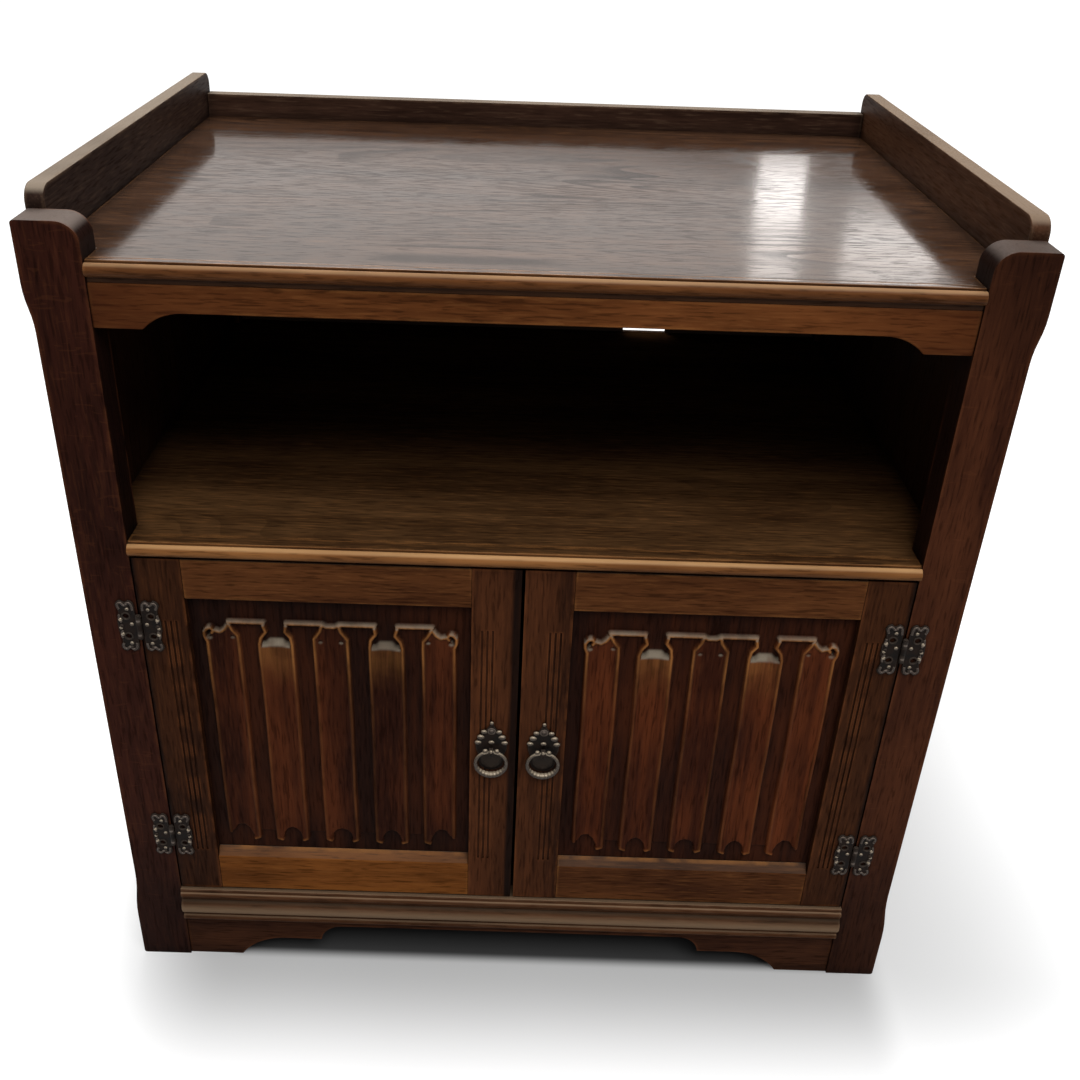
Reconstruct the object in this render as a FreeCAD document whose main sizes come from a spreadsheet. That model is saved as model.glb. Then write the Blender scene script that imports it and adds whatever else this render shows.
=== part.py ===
import FreeCAD, Part
import math
import operator
import os
from types import SimpleNamespace

import Sketcher

# Oak side cabinet: open compartment over a cupboard with two linenfold doors.
# X runs to the right, Y to the back and Z up, in millimetres. The frame's origin is
# on the floor, in the middle of the overall width and depth.

SIZES = {
    # Whole cabinet
    "width": 800,
    "depth": 553,
    "top_height": 800,
    # Front posts
    "post_width": 46.5,
    "post_depth": 32,
    "ear_rise": 31,
    "ear_straight": 51,
    "ear_curve": 42,
    "ear_flare": 5,
    "ear_round": 18,
    "foot_straight": 60,
    "foot_curve": 65,
    "foot_flare": 5,
    "corner_round": 3,
    # Top, galleries and apron
    "top_thickness": 18,
    "gallery_rise": 49,
    "gallery_thickness": 16,
    "gallery_round": 14,
    "back_rise": 26,
    "back_thickness": 16,
    "top_bead": 12,
    "top_bead_reach": 3,
    "top_bead_bulge": 5,
    "top_lip_depth": 13,
    "quirk": 1.5,
    "apron_height": 24.5,
    "apron_drop": 14.5,
    "apron_end": 39.5,
    "apron_sweep": 33,
    "rail_thickness": 18,
    "rail_setback": 2,
    "tenon_length": 12,
    "tenon_thickness": 6,
    "tenon_shoulder": 5,
    # Sides and back
    "side_thickness": 16,
    "side_setback": 4,
    "side_clearance": 46,
    "side_tongue": 8,
    "rear_stile_width": 28,
    "rear_stile_depth": 28,
    "back_sheet": 6,
    "back_sheet_setback": 6,
    "back_rail_height": 40,
    "slot_width": 55,
    "slot_height": 40,
    "slot_offset": 152.5,
    # Shelf, base board and plinth
    "board_thickness": 15,
    "housing": 6,
    "shelf_height": 541,
    "nose_height": 14,
    "nose_reach": 5,
    "nose_bulge": 5.5,
    "nose_depth": 19,
    "base_height": 105,
    "plinth_moulding": 45,
    "plinth_depth": 24,
    "plinth_reach": 8,
    "reed_fillet": 4,
    "reed_small": 8,
    "reed_quirk": 2,
    "reed_bulge": 5,
    "foot_length": 57.5,
    "foot_sweep": 48,
    "foot_rise": 27,
    "foot_flat": 41,
    "arch_sweep": 23,
    "arch_rise": 21,
    "block_size": 30,
    # Doors
    "door_gap": 1.5,
    "door_thickness": 20,
    "hinge_stile": 43,
    "meeting_stile": 45,
    "top_rail": 43,
    "bottom_rail": 56,
    "weathering": 10,
    "frame_groove": 8,
    "panel_edge": 7,
    "panel_setback": 8,
    "flute_width": 2,
    "flute_pitch": 5,
    "flute_depth": 1.2,
    "flute_inset": 15,
    "flute_stop": 25,
    # Linenfold
    "fold_margin": 15.25,
    "fold_width": 30,
    "fold_rib": 5,
    "fold_setback": 4,
    "fold_bulge": 2,
    "fold_hollow": 1.5,
    "fold_foot": 13,
    "fold_top": 42,
    "cap_top": 28,
    "cap_height": 12,
    "cap_width": 37.5,
    "valley_setback": 6,
    "valley_foot": 28,
    # Hinges
    "hinge_height": 57,
    "hinge_reach": 20,
    "leaf_thickness": 1.6,
    "upper_hinge_drop": 74.5,
    "lower_hinge_rise": 77.5,
    "knuckle_radius": 2.6,
    "knuckle_length": 8,
    "knuckle_gap": 0.2,
    "pin_radius": 1.2,
    "pin_clearance": 0.05,
    "leaf_clearance": 0.5,
    "leaf_lobe": 5.5,
    "leaf_scallop": 2.2,
    "piercing_radius": 3,
    "pin_head": 2,
    "nail_radius": 0.8,
    "nail_length": 12,
    "nail_head": 2.2,
    "nail_dome": 1.2,
    # Pulls and catches
    "pull_height": 314,
    "pull_inset": 24,
    "plate_thickness": 1.5,
    "plate_width": 30,
    "shoulder_width": 22,
    "plate_rise": 35,
    "plate_drop": 24,
    "ring_radius": 15,
    "ring_tube": 2,
    "ring_clearance": 0.5,
    "ring_stand": 4.5,
    "eye_radius": 4.5,
    "eye_width": 4,
    "bolt_radius": 2,
    "nut_radius": 4.5,
    "nut_height": 3,
    "strike_width": 36,
    "strike_height": 10,
    "strike_thickness": 1,
    "catch_width": 42,
    "catch_height": 14,
    "catch_depth": 12,
    "catch_gap": 0.3,
}

SIDES = (("left", -1), ("right", 1))
OPERATIONS = {"+": operator.add, "-": operator.sub, "*": operator.mul, "/": operator.truediv}


class Size:
    """A length: its number, and the expression that ties it to the sheet."""

    def __init__(self, number, text):
        self.number = number
        self.text = text

    def join(self, sign, other, swapped=False):
        pair = [self, sized(other)]
        if swapped:
            pair.reverse()
        number = OPERATIONS[sign](pair[0].number, pair[1].number)
        return Size(number, "(%s %s %s)" % (pair[0].text, sign, pair[1].text))

    def __add__(self, other):
        return self.join("+", other)

    def __radd__(self, other):
        return self.join("+", other, swapped=True)

    def __sub__(self, other):
        return self.join("-", other)

    def __rsub__(self, other):
        return self.join("-", other, swapped=True)

    def __mul__(self, other):
        return self.join("*", other)

    def __rmul__(self, other):
        return self.join("*", other, swapped=True)

    def __truediv__(self, other):
        return self.join("/", other)

    def __neg__(self):
        return self.join("-", 0, swapped=True)


def sized(value):
    return value if isinstance(value, Size) else Size(float(value), repr(float(value)))


doc = FreeCAD.newDocument("side_cabinet")
sheet = doc.addObject("Spreadsheet::Sheet", "Sizes")
for row, (alias, number) in enumerate(SIZES.items(), start=1):
    sheet.set("A%d" % row, alias)
    sheet.set("B%d" % row, str(number))
    sheet.setAlias("B%d" % row, alias)
doc.recompute()
dim = SimpleNamespace(**{alias: Size(float(number), "Sizes." + alias) for alias, number in SIZES.items()})

pieces = []


def keep(piece):
    pieces.append(piece)
    return piece


def bind(thing, prop, size):
    thing.setExpression(prop, sized(size).text)


def place(thing, x, y, z):
    bind(thing, "Placement.Base.x", x)
    bind(thing, "Placement.Base.y", y)
    bind(thing, "Placement.Base.z", z)


def box(name, xs, ys, zs):
    """A block between two limits along each axis."""
    block = doc.addObject("Part::Box", name)
    bind(block, "Length", xs[1] - xs[0])
    bind(block, "Width", ys[1] - ys[0])
    bind(block, "Height", zs[1] - zs[0])
    place(block, xs[0], ys[0], zs[0])
    return block


TURNS = {
    "x": FreeCAD.Rotation(FreeCAD.Vector(0, 1, 0), 90),
    "y": FreeCAD.Rotation(FreeCAD.Vector(1, 0, 0), -90),
    "z": FreeCAD.Rotation(),
}


def along(thing, axis, start, length):
    """Lays a solid of revolution along an axis from its start point."""
    thing.Placement = FreeCAD.Placement(FreeCAD.Vector(), TURNS[axis])
    bind(thing, "Height", length)
    place(thing, *start)
    return thing


def rod(name, axis, start, length, radius):
    cylinder = doc.addObject("Part::Cylinder", name)
    bind(cylinder, "Radius", radius)
    return along(cylinder, axis, start, length)


def fuse(name, shapes):
    union = doc.addObject("Part::MultiFuse", name)
    union.Shapes = shapes
    union.Refine = True
    return union


def cut(name, base, tools):
    tool = tools[0] if len(tools) == 1 else fuse(name + "_cuts", tools)
    remainder = doc.addObject("Part::Cut", name)
    remainder.Base = base
    remainder.Tool = tool
    remainder.Refine = True
    return remainder


def group(name, shapes):
    compound = doc.addObject("Part::Compound", name)
    compound.Links = shapes
    return compound


def arc_between(start, end, radius):
    """The shorter arc from start to end, which turns left if the radius is positive."""
    chord = end - start
    rise = math.sqrt(max(radius * radius - chord.Length ** 2 / 4, 0))
    to_left = FreeCAD.Vector(-chord.y, chord.x, 0).normalize()
    centre = (start + end) / 2 + to_left * math.copysign(rise, radius)
    first, last = (start, end) if radius > 0 else (end, start)
    first_angle = math.atan2(first.y - centre.y, first.x - centre.x)
    last_angle = math.atan2(last.y - centre.y, last.x - centre.x)
    circle = Part.Circle(centre, FreeCAD.Vector(0, 0, 1), abs(radius))
    if last_angle < first_angle:
        last_angle += 2 * math.pi
    return Part.ArcOfCircle(circle, first_angle, last_angle)


def draw(sketch, corners):
    """Closed outline through corners (u, v) or (u, v, radius of the side that starts there)."""
    corners = [tuple(sized(value) for value in corner) for corner in corners]
    spots = [FreeCAD.Vector(corner[0].number, corner[1].number, 0) for corner in corners]
    ends = []
    for index, corner in enumerate(corners):
        start = spots[index]
        end = spots[(index + 1) % len(spots)]
        radius = corner[2].number if len(corner) > 2 else 0
        side = arc_between(start, end, radius) if radius else Part.LineSegment(start, end)
        sketch.addGeometry(side, False)
        ends.append((2, 1) if radius < 0 else (1, 2))
    for index, corner in enumerate(corners):
        following = (index + 1) % len(corners)
        joint = (index, ends[index][1], following, ends[following][0])
        sketch.addConstraint(Sketcher.Constraint("Coincident", *joint))
    for index, corner in enumerate(corners):
        for kind, value in zip(("DistanceX", "DistanceY"), corner[:2]):
            spot = (-1, 1, index, ends[index][0], value.number)
            number = sketch.addConstraint(Sketcher.Constraint(kind, *spot))
            bind(sketch, "Constraints[%d]" % number, value)
        if len(corner) > 2:
            size = corner[2] if corner[2].number > 0 else -corner[2]
            number = sketch.addConstraint(Sketcher.Constraint("Radius", index, size.number))
            bind(sketch, "Constraints[%d]" % number, size)


def prism(name, plane, corners, length, start):
    body = doc.addObject("PartDesign::Body", name)
    sketch = body.newObject("Sketcher::SketchObject", name + "_outline")
    support = [feature for feature in body.Origin.OriginFeatures if feature.Role == plane][0]
    sketch.AttachmentSupport = [(support, "")]
    sketch.MapMode = "FlatFace"
    draw(sketch, corners)
    pad = body.newObject("PartDesign::Pad", name + "_pad")
    pad.Profile = sketch
    bind(pad, "Length", length)
    place(body, *start)
    return body


def front_board(name, corners, ys):
    """An outline seen from the front, in X and Z, given a thickness along Y."""
    return prism(name, "XZ_Plane", corners, ys[1] - ys[0], (0, ys[1], 0))


def plan_board(name, corners, zs):
    """An outline seen from above, in X and Y, given a height along Z."""
    return prism(name, "XY_Plane", corners, zs[1] - zs[0], (0, 0, zs[0]))


def end_section(name, corners, xs):
    """A section in Y and Z run along X."""
    return prism(name, "YZ_Plane", corners, xs[1] - xs[0], (xs[0], 0, 0))


def across(sign, inner, outer):
    """Limits along X on one side of the middle, lower one first."""
    return (inner, outer) if sign > 0 else (-outer, -inner)


def mirrored(sign, corners):
    """An outline drawn for the right, or its mirror image for the left."""
    if sign > 0:
        return corners
    return [(-corner[0], corner[1]) + tuple(-radius for radius in corner[2:]) for corner in corners]


def sagitta_radius(half_chord, rise):
    return (half_chord * half_chord + rise * rise) / (2 * rise)


# Places shared by the pieces
half = dim.width / 2
opening = half - dim.post_width
reach = dim.plate_thickness + dim.ring_stand + dim.eye_radius
front = (reach - dim.depth) / 2
back = front + dim.depth
post_back = front + dim.post_depth
top_under = dim.top_height - dim.top_thickness
gallery_outer = half + dim.ear_flare
gallery_inner = gallery_outer - dim.gallery_thickness
side_outer = half - dim.side_setback
side_inner = side_outer - dim.side_thickness
stile_front = back - dim.rear_stile_depth
stile_inner = half - dim.rear_stile_width
sheet_back = back - dim.back_sheet_setback
sheet_front = sheet_back - dim.back_sheet
back_rail_front = sheet_front - dim.back_thickness
shelf_under = dim.shelf_height - dim.board_thickness
base_under = dim.base_height - dim.board_thickness
plinth_under = dim.base_height - dim.plinth_moulding
rail_front = front + dim.rail_setback
rail_back = rail_front + dim.rail_thickness
shelf_front = front - dim.nose_reach + dim.nose_depth
base_front = front - dim.plinth_reach + dim.plinth_depth
top_front = front - dim.top_bead_reach + dim.top_lip_depth
tenon_front = rail_front + (dim.rail_thickness - dim.tenon_thickness) / 2
tenon_ys = (tenon_front, tenon_front + dim.tenon_thickness)
apron_middle = top_under - dim.apron_height
apron_low = apron_middle - dim.apron_drop

door_outer = opening - dim.door_gap
door_inner = dim.door_gap
door_low = dim.base_height + dim.door_gap
door_high = shelf_under - dim.door_gap
door_ys = (front, front + dim.door_thickness)
hinge_x = opening - dim.door_gap / 2
hinge_y = front - dim.knuckle_radius
hinge_heights = (("upper", door_high - dim.upper_hinge_drop), ("lower", door_low + dim.lower_hinge_rise))
pull_x = door_inner + dim.pull_inset
ring_y = front - dim.plate_thickness - dim.ring_stand


def nail_spots(sign, on_post):
    """Nail places of one leaf, as distances from the hinge axis and its middle height."""
    way = sign if on_post else -sign
    edge = dim.hinge_reach - dim.nail_head - dim.nail_dome
    end = dim.hinge_height / 2 - dim.nail_head - 2 * dim.nail_dome
    middle = dim.hinge_reach / 2
    return [(way * edge, 0 * end), (way * middle, end), (way * middle, -end)]


def make_nails(side, sign, on_post):
    """Hinge nails of one side as shanks, which also bore the wood, and whole nails."""
    place_name = "post" if on_post else "door"
    shanks = {}
    nails = []
    for level, height in hinge_heights:
        shanks[level] = []
        for number, (across_leaf, up_leaf) in enumerate(nail_spots(sign, on_post), start=1):
            name = "%s_%s_%s_nail_%d" % (side, place_name, level, number)
            spot = (sign * hinge_x + across_leaf, front - dim.leaf_thickness, height + up_leaf)
            shank = rod(name + "_shank", "y", spot, dim.nail_length, dim.nail_radius)
            head = doc.addObject("Part::Cone", name + "_head")
            bind(head, "Radius1", dim.nail_head / 2)
            bind(head, "Radius2", dim.nail_head)
            along(head, "y", (spot[0], spot[1] - dim.nail_dome, spot[2]), dim.nail_dome)
            shanks[level].append(shank)
            nails.append(fuse(name, [shank, head]))
    keep(group("%s_%s_hinge_nails" % (side, place_name), nails))
    return shanks


def make_post(side, sign, tenons, nail_shanks):
    outer_foot = half + dim.foot_flare
    outer_ear = half + dim.ear_flare
    post_top = dim.top_height + dim.ear_rise
    ear_high = post_top - dim.ear_straight
    ear_low = ear_high - dim.ear_curve
    foot_low = dim.foot_straight
    foot_high = foot_low + dim.foot_curve
    foot_bend = sagitta_radius(dim.foot_curve / 2, dim.foot_flare / 2)
    ear_bend = sagitta_radius(dim.ear_curve / 2, dim.ear_flare / 2)
    corners = [
        (opening, 0),
        (outer_foot - dim.corner_round, 0, dim.corner_round),
        (outer_foot, dim.corner_round),
        (outer_foot, foot_low, foot_bend),
        (half + dim.foot_flare / 2, foot_low + dim.foot_curve / 2, -foot_bend),
        (half, foot_high),
        (half, ear_low, -ear_bend),
        (half + dim.ear_flare / 2, ear_low + dim.ear_curve / 2, ear_bend),
        (outer_ear, ear_high),
        (outer_ear, post_top - dim.corner_round, dim.corner_round),
        (outer_ear - dim.corner_round, post_top),
        (opening + dim.ear_round, post_top, dim.ear_round),
        (opening, post_top - dim.ear_round),
    ]
    name = side + "_front_post"
    blank = front_board(name + "_blank", mirrored(sign, corners), (front, post_back))
    groove = box(
        name + "_groove",
        across(sign, side_inner, side_outer),
        (post_back - dim.side_tongue, post_back),
        (dim.side_clearance, top_under),
    )
    keep(cut(name, blank, [groove] + tenons + nail_shanks))


def make_side(side, sign):
    tongue = dim.side_tongue
    panel_ys = (post_back - tongue, stile_front + tongue)
    blank = box(
        side + "_side_panel_blank",
        across(sign, side_inner, side_outer),
        panel_ys,
        (dim.side_clearance, top_under),
    )
    housings = []
    for board, under in (("shelf", shelf_under), ("base", base_under)):
        housings.append(box(
            "%s_%s_housing" % (side, board),
            across(sign, side_inner, side_inner + dim.housing),
            (post_back, sheet_front),
            (under, under + dim.board_thickness),
        ))
    keep(cut(side + "_side_panel", blank, housings))

    stile = box(
        side + "_rear_stile_blank",
        across(sign, stile_inner, half),
        (stile_front, back),
        (0, top_under),
    )
    panel_groove = box(
        side + "_rear_stile_groove",
        across(sign, side_inner, side_outer),
        (stile_front, stile_front + tongue),
        (dim.side_clearance, top_under),
    )
    sheet_groove = box(
        side + "_back_sheet_groove",
        across(sign, stile_inner, side_inner),
        (sheet_front, sheet_back),
        (plinth_under, top_under),
    )
    notches = []
    for board, under in (("shelf", shelf_under), ("base", base_under)):
        notches.append(box(
            "%s_rear_%s_notch" % (side, board),
            across(sign, stile_inner, side_inner + dim.housing),
            (stile_front, sheet_front),
            (under, under + dim.board_thickness),
        ))
    keep(cut(side + "_rear_stile", stile, [panel_groove, sheet_groove] + notches))

    low = top_under
    high = dim.top_height + dim.gallery_rise
    corner = dim.gallery_round
    section = [
        (post_back, low),
        (back, low),
        (back, high - corner, corner),
        (back - corner, high),
        (post_back + corner, high, corner),
        (post_back, high - corner),
    ]
    keep(end_section(side + "_gallery_rail", section, across(sign, gallery_inner, gallery_outer)))


def notched_board(name, half_width, ys, zs):
    """A board that fills the bay between the sides and is notched round the front posts."""
    corners = [
        (-opening, ys[0]),
        (opening, ys[0]),
        (opening, post_back),
        (half_width, post_back),
        (half_width, ys[1]),
        (-half_width, ys[1]),
        (-half_width, post_back),
        (-opening, post_back),
    ]
    return plan_board(name, corners, zs)


def make_tenons(rail, zs):
    """The two tenons of a rail between the posts, which also cut its mortises."""
    tenons = {}
    for side, sign in SIDES:
        tenons[side] = box(
            "%s_%s_tenon" % (side, rail),
            across(sign, opening, opening + dim.tenon_length),
            tenon_ys,
            (zs[0] + dim.tenon_shoulder, zs[1] - dim.tenon_shoulder),
        )
    return tenons


def make_top():
    keep(notched_board("top_board", gallery_inner, (top_front, back - dim.back_thickness),
                       (top_under, dim.top_height)))
    back_gallery_ys = (back - dim.back_thickness, back)
    keep(box("back_gallery_rail", (-gallery_inner, gallery_inner), back_gallery_ys,
             (top_under, dim.top_height + dim.back_rise)))

    bead_high = dim.top_height - dim.quirk
    bead_low = bead_high - dim.top_bead
    bead_back = front - dim.top_bead_reach + dim.top_bead_bulge
    quirk_back = bead_back + dim.quirk
    section = [
        (rail_front, top_under),
        (top_front, top_under),
        (top_front, dim.top_height),
        (quirk_back, dim.top_height),
        (quirk_back, bead_high - dim.quirk),
        (bead_back, bead_high - dim.quirk),
        (bead_back, bead_high, sagitta_radius(dim.top_bead / 2, dim.top_bead_bulge)),
        (bead_back, bead_low),
    ]
    keep(end_section("top_front_moulding", section, (-opening, opening)))


def make_top_apron(tenons):
    inner_end = opening - dim.apron_end
    flat_end = inner_end - dim.apron_sweep
    bend = sagitta_radius(dim.apron_sweep, dim.apron_drop)
    corners = [
        (-opening, apron_low),
        (-inner_end, apron_low, -bend),
        (-flat_end, apron_middle),
        (flat_end, apron_middle, -bend),
        (inner_end, apron_low),
        (opening, apron_low),
        (opening, top_under),
        (-opening, top_under),
    ]
    plank = front_board("top_apron_plank", corners, (rail_front, rail_back))
    keep(fuse("top_apron_rail", [plank] + list(tenons.values())))


def make_shelf():
    half_width = side_inner + dim.housing
    keep(notched_board("shelf_board", half_width, (shelf_front, sheet_front),
                       (shelf_under, dim.shelf_height)))
    nose_low = dim.shelf_height - dim.nose_height
    nose_high = dim.shelf_height - dim.quirk
    nose_back = front - dim.nose_reach + dim.nose_bulge
    nose_bend = sagitta_radius((nose_high - nose_low) / 2, dim.nose_bulge)
    quirk_back = nose_back + dim.quirk
    section = [
        (nose_back, nose_low),
        (shelf_front, nose_low),
        (shelf_front, dim.shelf_height),
        (quirk_back, dim.shelf_height),
        (quirk_back, nose_high - dim.quirk),
        (nose_back, nose_high - dim.quirk),
        (nose_back, nose_high, nose_bend),
    ]
    keep(end_section("shelf_front_moulding", section, (-opening, opening)))


def make_base(tenons):
    half_width = side_inner + dim.housing
    keep(notched_board("base_board", half_width, (base_front, sheet_front),
                       (base_under, dim.base_height)))

    fillet_low = dim.base_height - dim.reed_fillet
    small_low = fillet_low - dim.reed_small
    big_high = small_low - dim.reed_quirk
    bottom_high = plinth_under + dim.reed_small
    big_low = bottom_high + dim.reed_quirk
    face = front - dim.plinth_reach + dim.reed_bulge
    small_bend = sagitta_radius(dim.reed_small / 2, dim.reed_bulge / 2)
    big_bend = sagitta_radius((big_high - big_low) / 2, dim.reed_bulge)
    section = [
        (face, plinth_under),
        (base_front, plinth_under),
        (base_front, dim.base_height),
        (face, dim.base_height),
        (face, fillet_low, small_bend),
        (face, small_low),
        (face, big_high, big_bend),
        (face, big_low),
        (face, bottom_high, small_bend),
    ]
    keep(end_section("plinth_moulding", section, (-opening, opening)))

    foot_inner = opening - dim.foot_length
    foot_top = foot_inner - dim.foot_sweep
    arch_start = foot_top - dim.foot_flat
    arch_end = arch_start - dim.arch_sweep
    arch_high = dim.foot_rise + dim.arch_rise
    foot_bend = sagitta_radius(dim.foot_sweep, dim.foot_rise)
    arch_bend = sagitta_radius(dim.arch_sweep, dim.arch_rise)
    corners = [
        (-opening, 0),
        (-foot_inner, 0, -foot_bend),
        (-foot_top, dim.foot_rise),
        (-arch_start, dim.foot_rise, -arch_bend),
        (-arch_end, arch_high),
        (arch_end, arch_high, -arch_bend),
        (arch_start, dim.foot_rise),
        (foot_top, dim.foot_rise, -foot_bend),
        (foot_inner, 0),
        (opening, 0),
        (opening, plinth_under),
        (-opening, plinth_under),
    ]
    plank = front_board("base_apron_plank", corners, (rail_front, rail_back))
    keep(fuse("base_apron", [plank] + list(tenons.values())))

    blocks = []
    for side, sign in SIDES:
        blocks.append(box(
            side + "_corner_block",
            across(sign, opening - dim.block_size, opening),
            (rail_back, rail_back + dim.block_size),
            (plinth_under - dim.block_size, base_under),
        ))
    keep(group("corner_blocks", blocks))


def make_back():
    rail_ys = (back_rail_front, sheet_front)
    rail_xs = (-stile_inner, stile_inner)
    keep(box("back_top_rail", rail_xs, rail_ys, (top_under - dim.back_rail_height, top_under)))
    keep(box("back_bottom_rail", rail_xs, rail_ys, (base_under - dim.back_rail_height, base_under)))
    sheet_xs = (-side_inner, side_inner)
    sheet_ys = (sheet_front, sheet_back)
    seam = dim.shelf_height - dim.board_thickness / 2
    keep(box("lower_back_panel", sheet_xs, sheet_ys, (plinth_under, seam)))
    upper = box("upper_back_blank", sheet_xs, sheet_ys, (seam, top_under))
    slot = box(
        "cable_slot",
        (dim.slot_offset - dim.slot_width / 2, dim.slot_offset + dim.slot_width / 2),
        sheet_ys,
        (dim.shelf_height, dim.shelf_height + dim.slot_height),
    )
    keep(cut("upper_back_panel", upper, [slot]))


def make_flutes(name, sign, edge, way):
    """Three stopped flutes on a stile, measured from its edge beside the panel."""
    low = door_low + dim.bottom_rail
    high = door_high - dim.top_rail - dim.flute_stop
    flutes = []
    for number in (-1, 0, 1):
        middle = sign * (edge + way * (dim.flute_inset + number * dim.flute_pitch))
        flutes.append(box(
            "%s_flute_%d" % (name, number + 2),
            (middle - dim.flute_width / 2, middle + dim.flute_width / 2),
            (front, front + dim.flute_depth),
            (low, high),
        ))
    return flutes


def make_door(side, sign, nail_shanks, bolt):
    name = side + "_door_"
    groove_ys = (front + dim.panel_setback, front + dim.panel_setback + dim.panel_edge)
    groove = dim.frame_groove
    hinge_edge = door_outer - dim.hinge_stile
    meeting_edge = door_inner + dim.meeting_stile
    height = (door_low, door_high)

    hinge_blank = box(name + "hinge_blank", across(sign, hinge_edge, door_outer), door_ys, height)
    hinge_groove = box(
        name + "hinge_groove", across(sign, hinge_edge, hinge_edge + groove), groove_ys, height)
    hinge_cuts = [hinge_groove] + make_flutes(name + "hinge", sign, hinge_edge, 1) + nail_shanks
    keep(cut(name + "hinge_stile", hinge_blank, hinge_cuts))

    meeting_blank = box(name + "meeting_blank", across(sign, door_inner, meeting_edge), door_ys, height)
    meeting_groove = box(
        name + "meeting_groove", across(sign, meeting_edge - groove, meeting_edge), groove_ys, height)
    meeting_cuts = [meeting_groove] + make_flutes(name + "meeting", sign, meeting_edge, -1) + [bolt]
    keep(cut(name + "meeting_stile", meeting_blank, meeting_cuts))

    rail_xs = across(sign, meeting_edge, hinge_edge)
    tongue_xs = across(sign, meeting_edge - groove, hinge_edge + groove)
    top_low = door_high - dim.top_rail
    bottom_high = door_low + dim.bottom_rail
    top_core = box(name + "top_core", rail_xs, door_ys, (top_low, door_high))
    top_tongue = box(name + "top_tongue", tongue_xs, groove_ys, (top_low, door_high))
    top_groove = box(name + "top_groove", tongue_xs, groove_ys, (top_low, top_low + groove))
    keep(cut(name + "top_rail", fuse(name + "top_blank", [top_core, top_tongue]), [top_groove]))

    slope = dim.weathering
    section = [
        (door_ys[0], door_low),
        (door_ys[1], door_low),
        (door_ys[1], bottom_high),
        (groove_ys[0], bottom_high),
        (door_ys[0], bottom_high - slope),
    ]
    bottom_core = end_section(name + "bottom_core", section, rail_xs)
    bottom_tongue = box(name + "bottom_tongue", tongue_xs, groove_ys, (door_low, bottom_high))
    bottom_groove = box(name + "bottom_groove", tongue_xs, groove_ys, (bottom_high - groove, bottom_high))
    bottom_blank = fuse(name + "bottom_blank", [bottom_core, bottom_tongue])
    keep(cut(name + "bottom_rail", bottom_blank, [bottom_groove]))

    core = box(name + "panel_core", tongue_xs, groove_ys, (bottom_high - groove, top_low + groove))
    middle = sign * (meeting_edge + hinge_edge) / 2
    folds = make_folds(name, middle, hinge_edge - meeting_edge, groove_ys[0], (bottom_high, top_low))
    keep(fuse(side + "_linenfold_panel", [core] + folds))


def make_folds(name, middle, panel_width, ground, zs):
    """Five rolled folds with hollow faces, and the flat-topped valleys between them."""
    low, high = zs
    pitch = (panel_width - 2 * dim.fold_margin - dim.fold_width) / 4
    side_edge = dim.fold_width / 2
    rib_edge = side_edge - dim.fold_rib
    crest = front + dim.fold_setback
    rib_bend = sagitta_radius(dim.fold_rib / 2, dim.fold_bulge)
    hollow_bend = sagitta_radius(rib_edge, dim.fold_hollow)
    roll_low = low + dim.fold_foot
    roll_high = high - dim.fold_top
    folds = []
    for number in range(5):
        centre = middle + (number - 2) * pitch
        corners = [
            (centre - side_edge, ground),
            (centre - side_edge, crest, rib_bend),
            (centre - rib_edge, crest, -hollow_bend),
            (centre + rib_edge, crest, rib_bend),
            (centre + side_edge, crest),
            (centre + side_edge, ground),
        ]
        label = "%sfold_%d" % (name, number + 1)
        roll = plan_board(label + "_roll", corners, (roll_low, roll_high))
        notch_start = (centre, front, roll_low)
        notch = rod(label + "_arch", "y", notch_start, ground - front, rib_edge)
        crescent_start = (centre, front, roll_high + rib_edge)
        crescent = rod(label + "_crescent", "y", crescent_start, ground - front, side_edge)
        folds.append(cut(label, roll, [notch, crescent]))
    cap_high = high - dim.cap_top
    cap_low = cap_high - dim.cap_height
    stem = (pitch - dim.fold_width) / 2
    cap = dim.cap_width / 2
    for number in range(4):
        centre = middle + (number - 1.5) * pitch
        corners = [
            (centre - stem, low + dim.valley_foot),
            (centre + stem, low + dim.valley_foot),
            (centre + stem, cap_low),
            (centre + cap, cap_low + dim.cap_height / 2),
            (centre + cap, cap_high),
            (centre - cap, cap_high),
            (centre - cap, cap_low + dim.cap_height / 2),
            (centre - stem, cap_low),
        ]
        label = "%svalley_%d" % (name, number + 1)
        folds.append(front_board(label, corners, (front + dim.valley_setback, ground)))
    return folds


def leaf_outline():
    """Half of a butterfly hinge, as distances from the axis and up from the middle."""
    near = dim.knuckle_radius + dim.leaf_clearance
    far = dim.hinge_reach
    end = dim.hinge_height / 2
    lobe = dim.leaf_lobe
    scallop = -sagitta_radius((end - 2 * lobe) / 2, dim.leaf_scallop)
    dip = -sagitta_radius((far - near - 2 * lobe) / 2, dim.leaf_scallop)
    return [
        (near, lobe - end, lobe),
        (near + lobe, -end, dip),
        (far - lobe, -end, lobe),
        (far, lobe - end, scallop),
        (far, -lobe),
        (far, lobe, scallop),
        (far, end - lobe, lobe),
        (far - lobe, end, dip),
        (near + lobe, end, lobe),
        (near, end - lobe),
    ]


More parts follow.
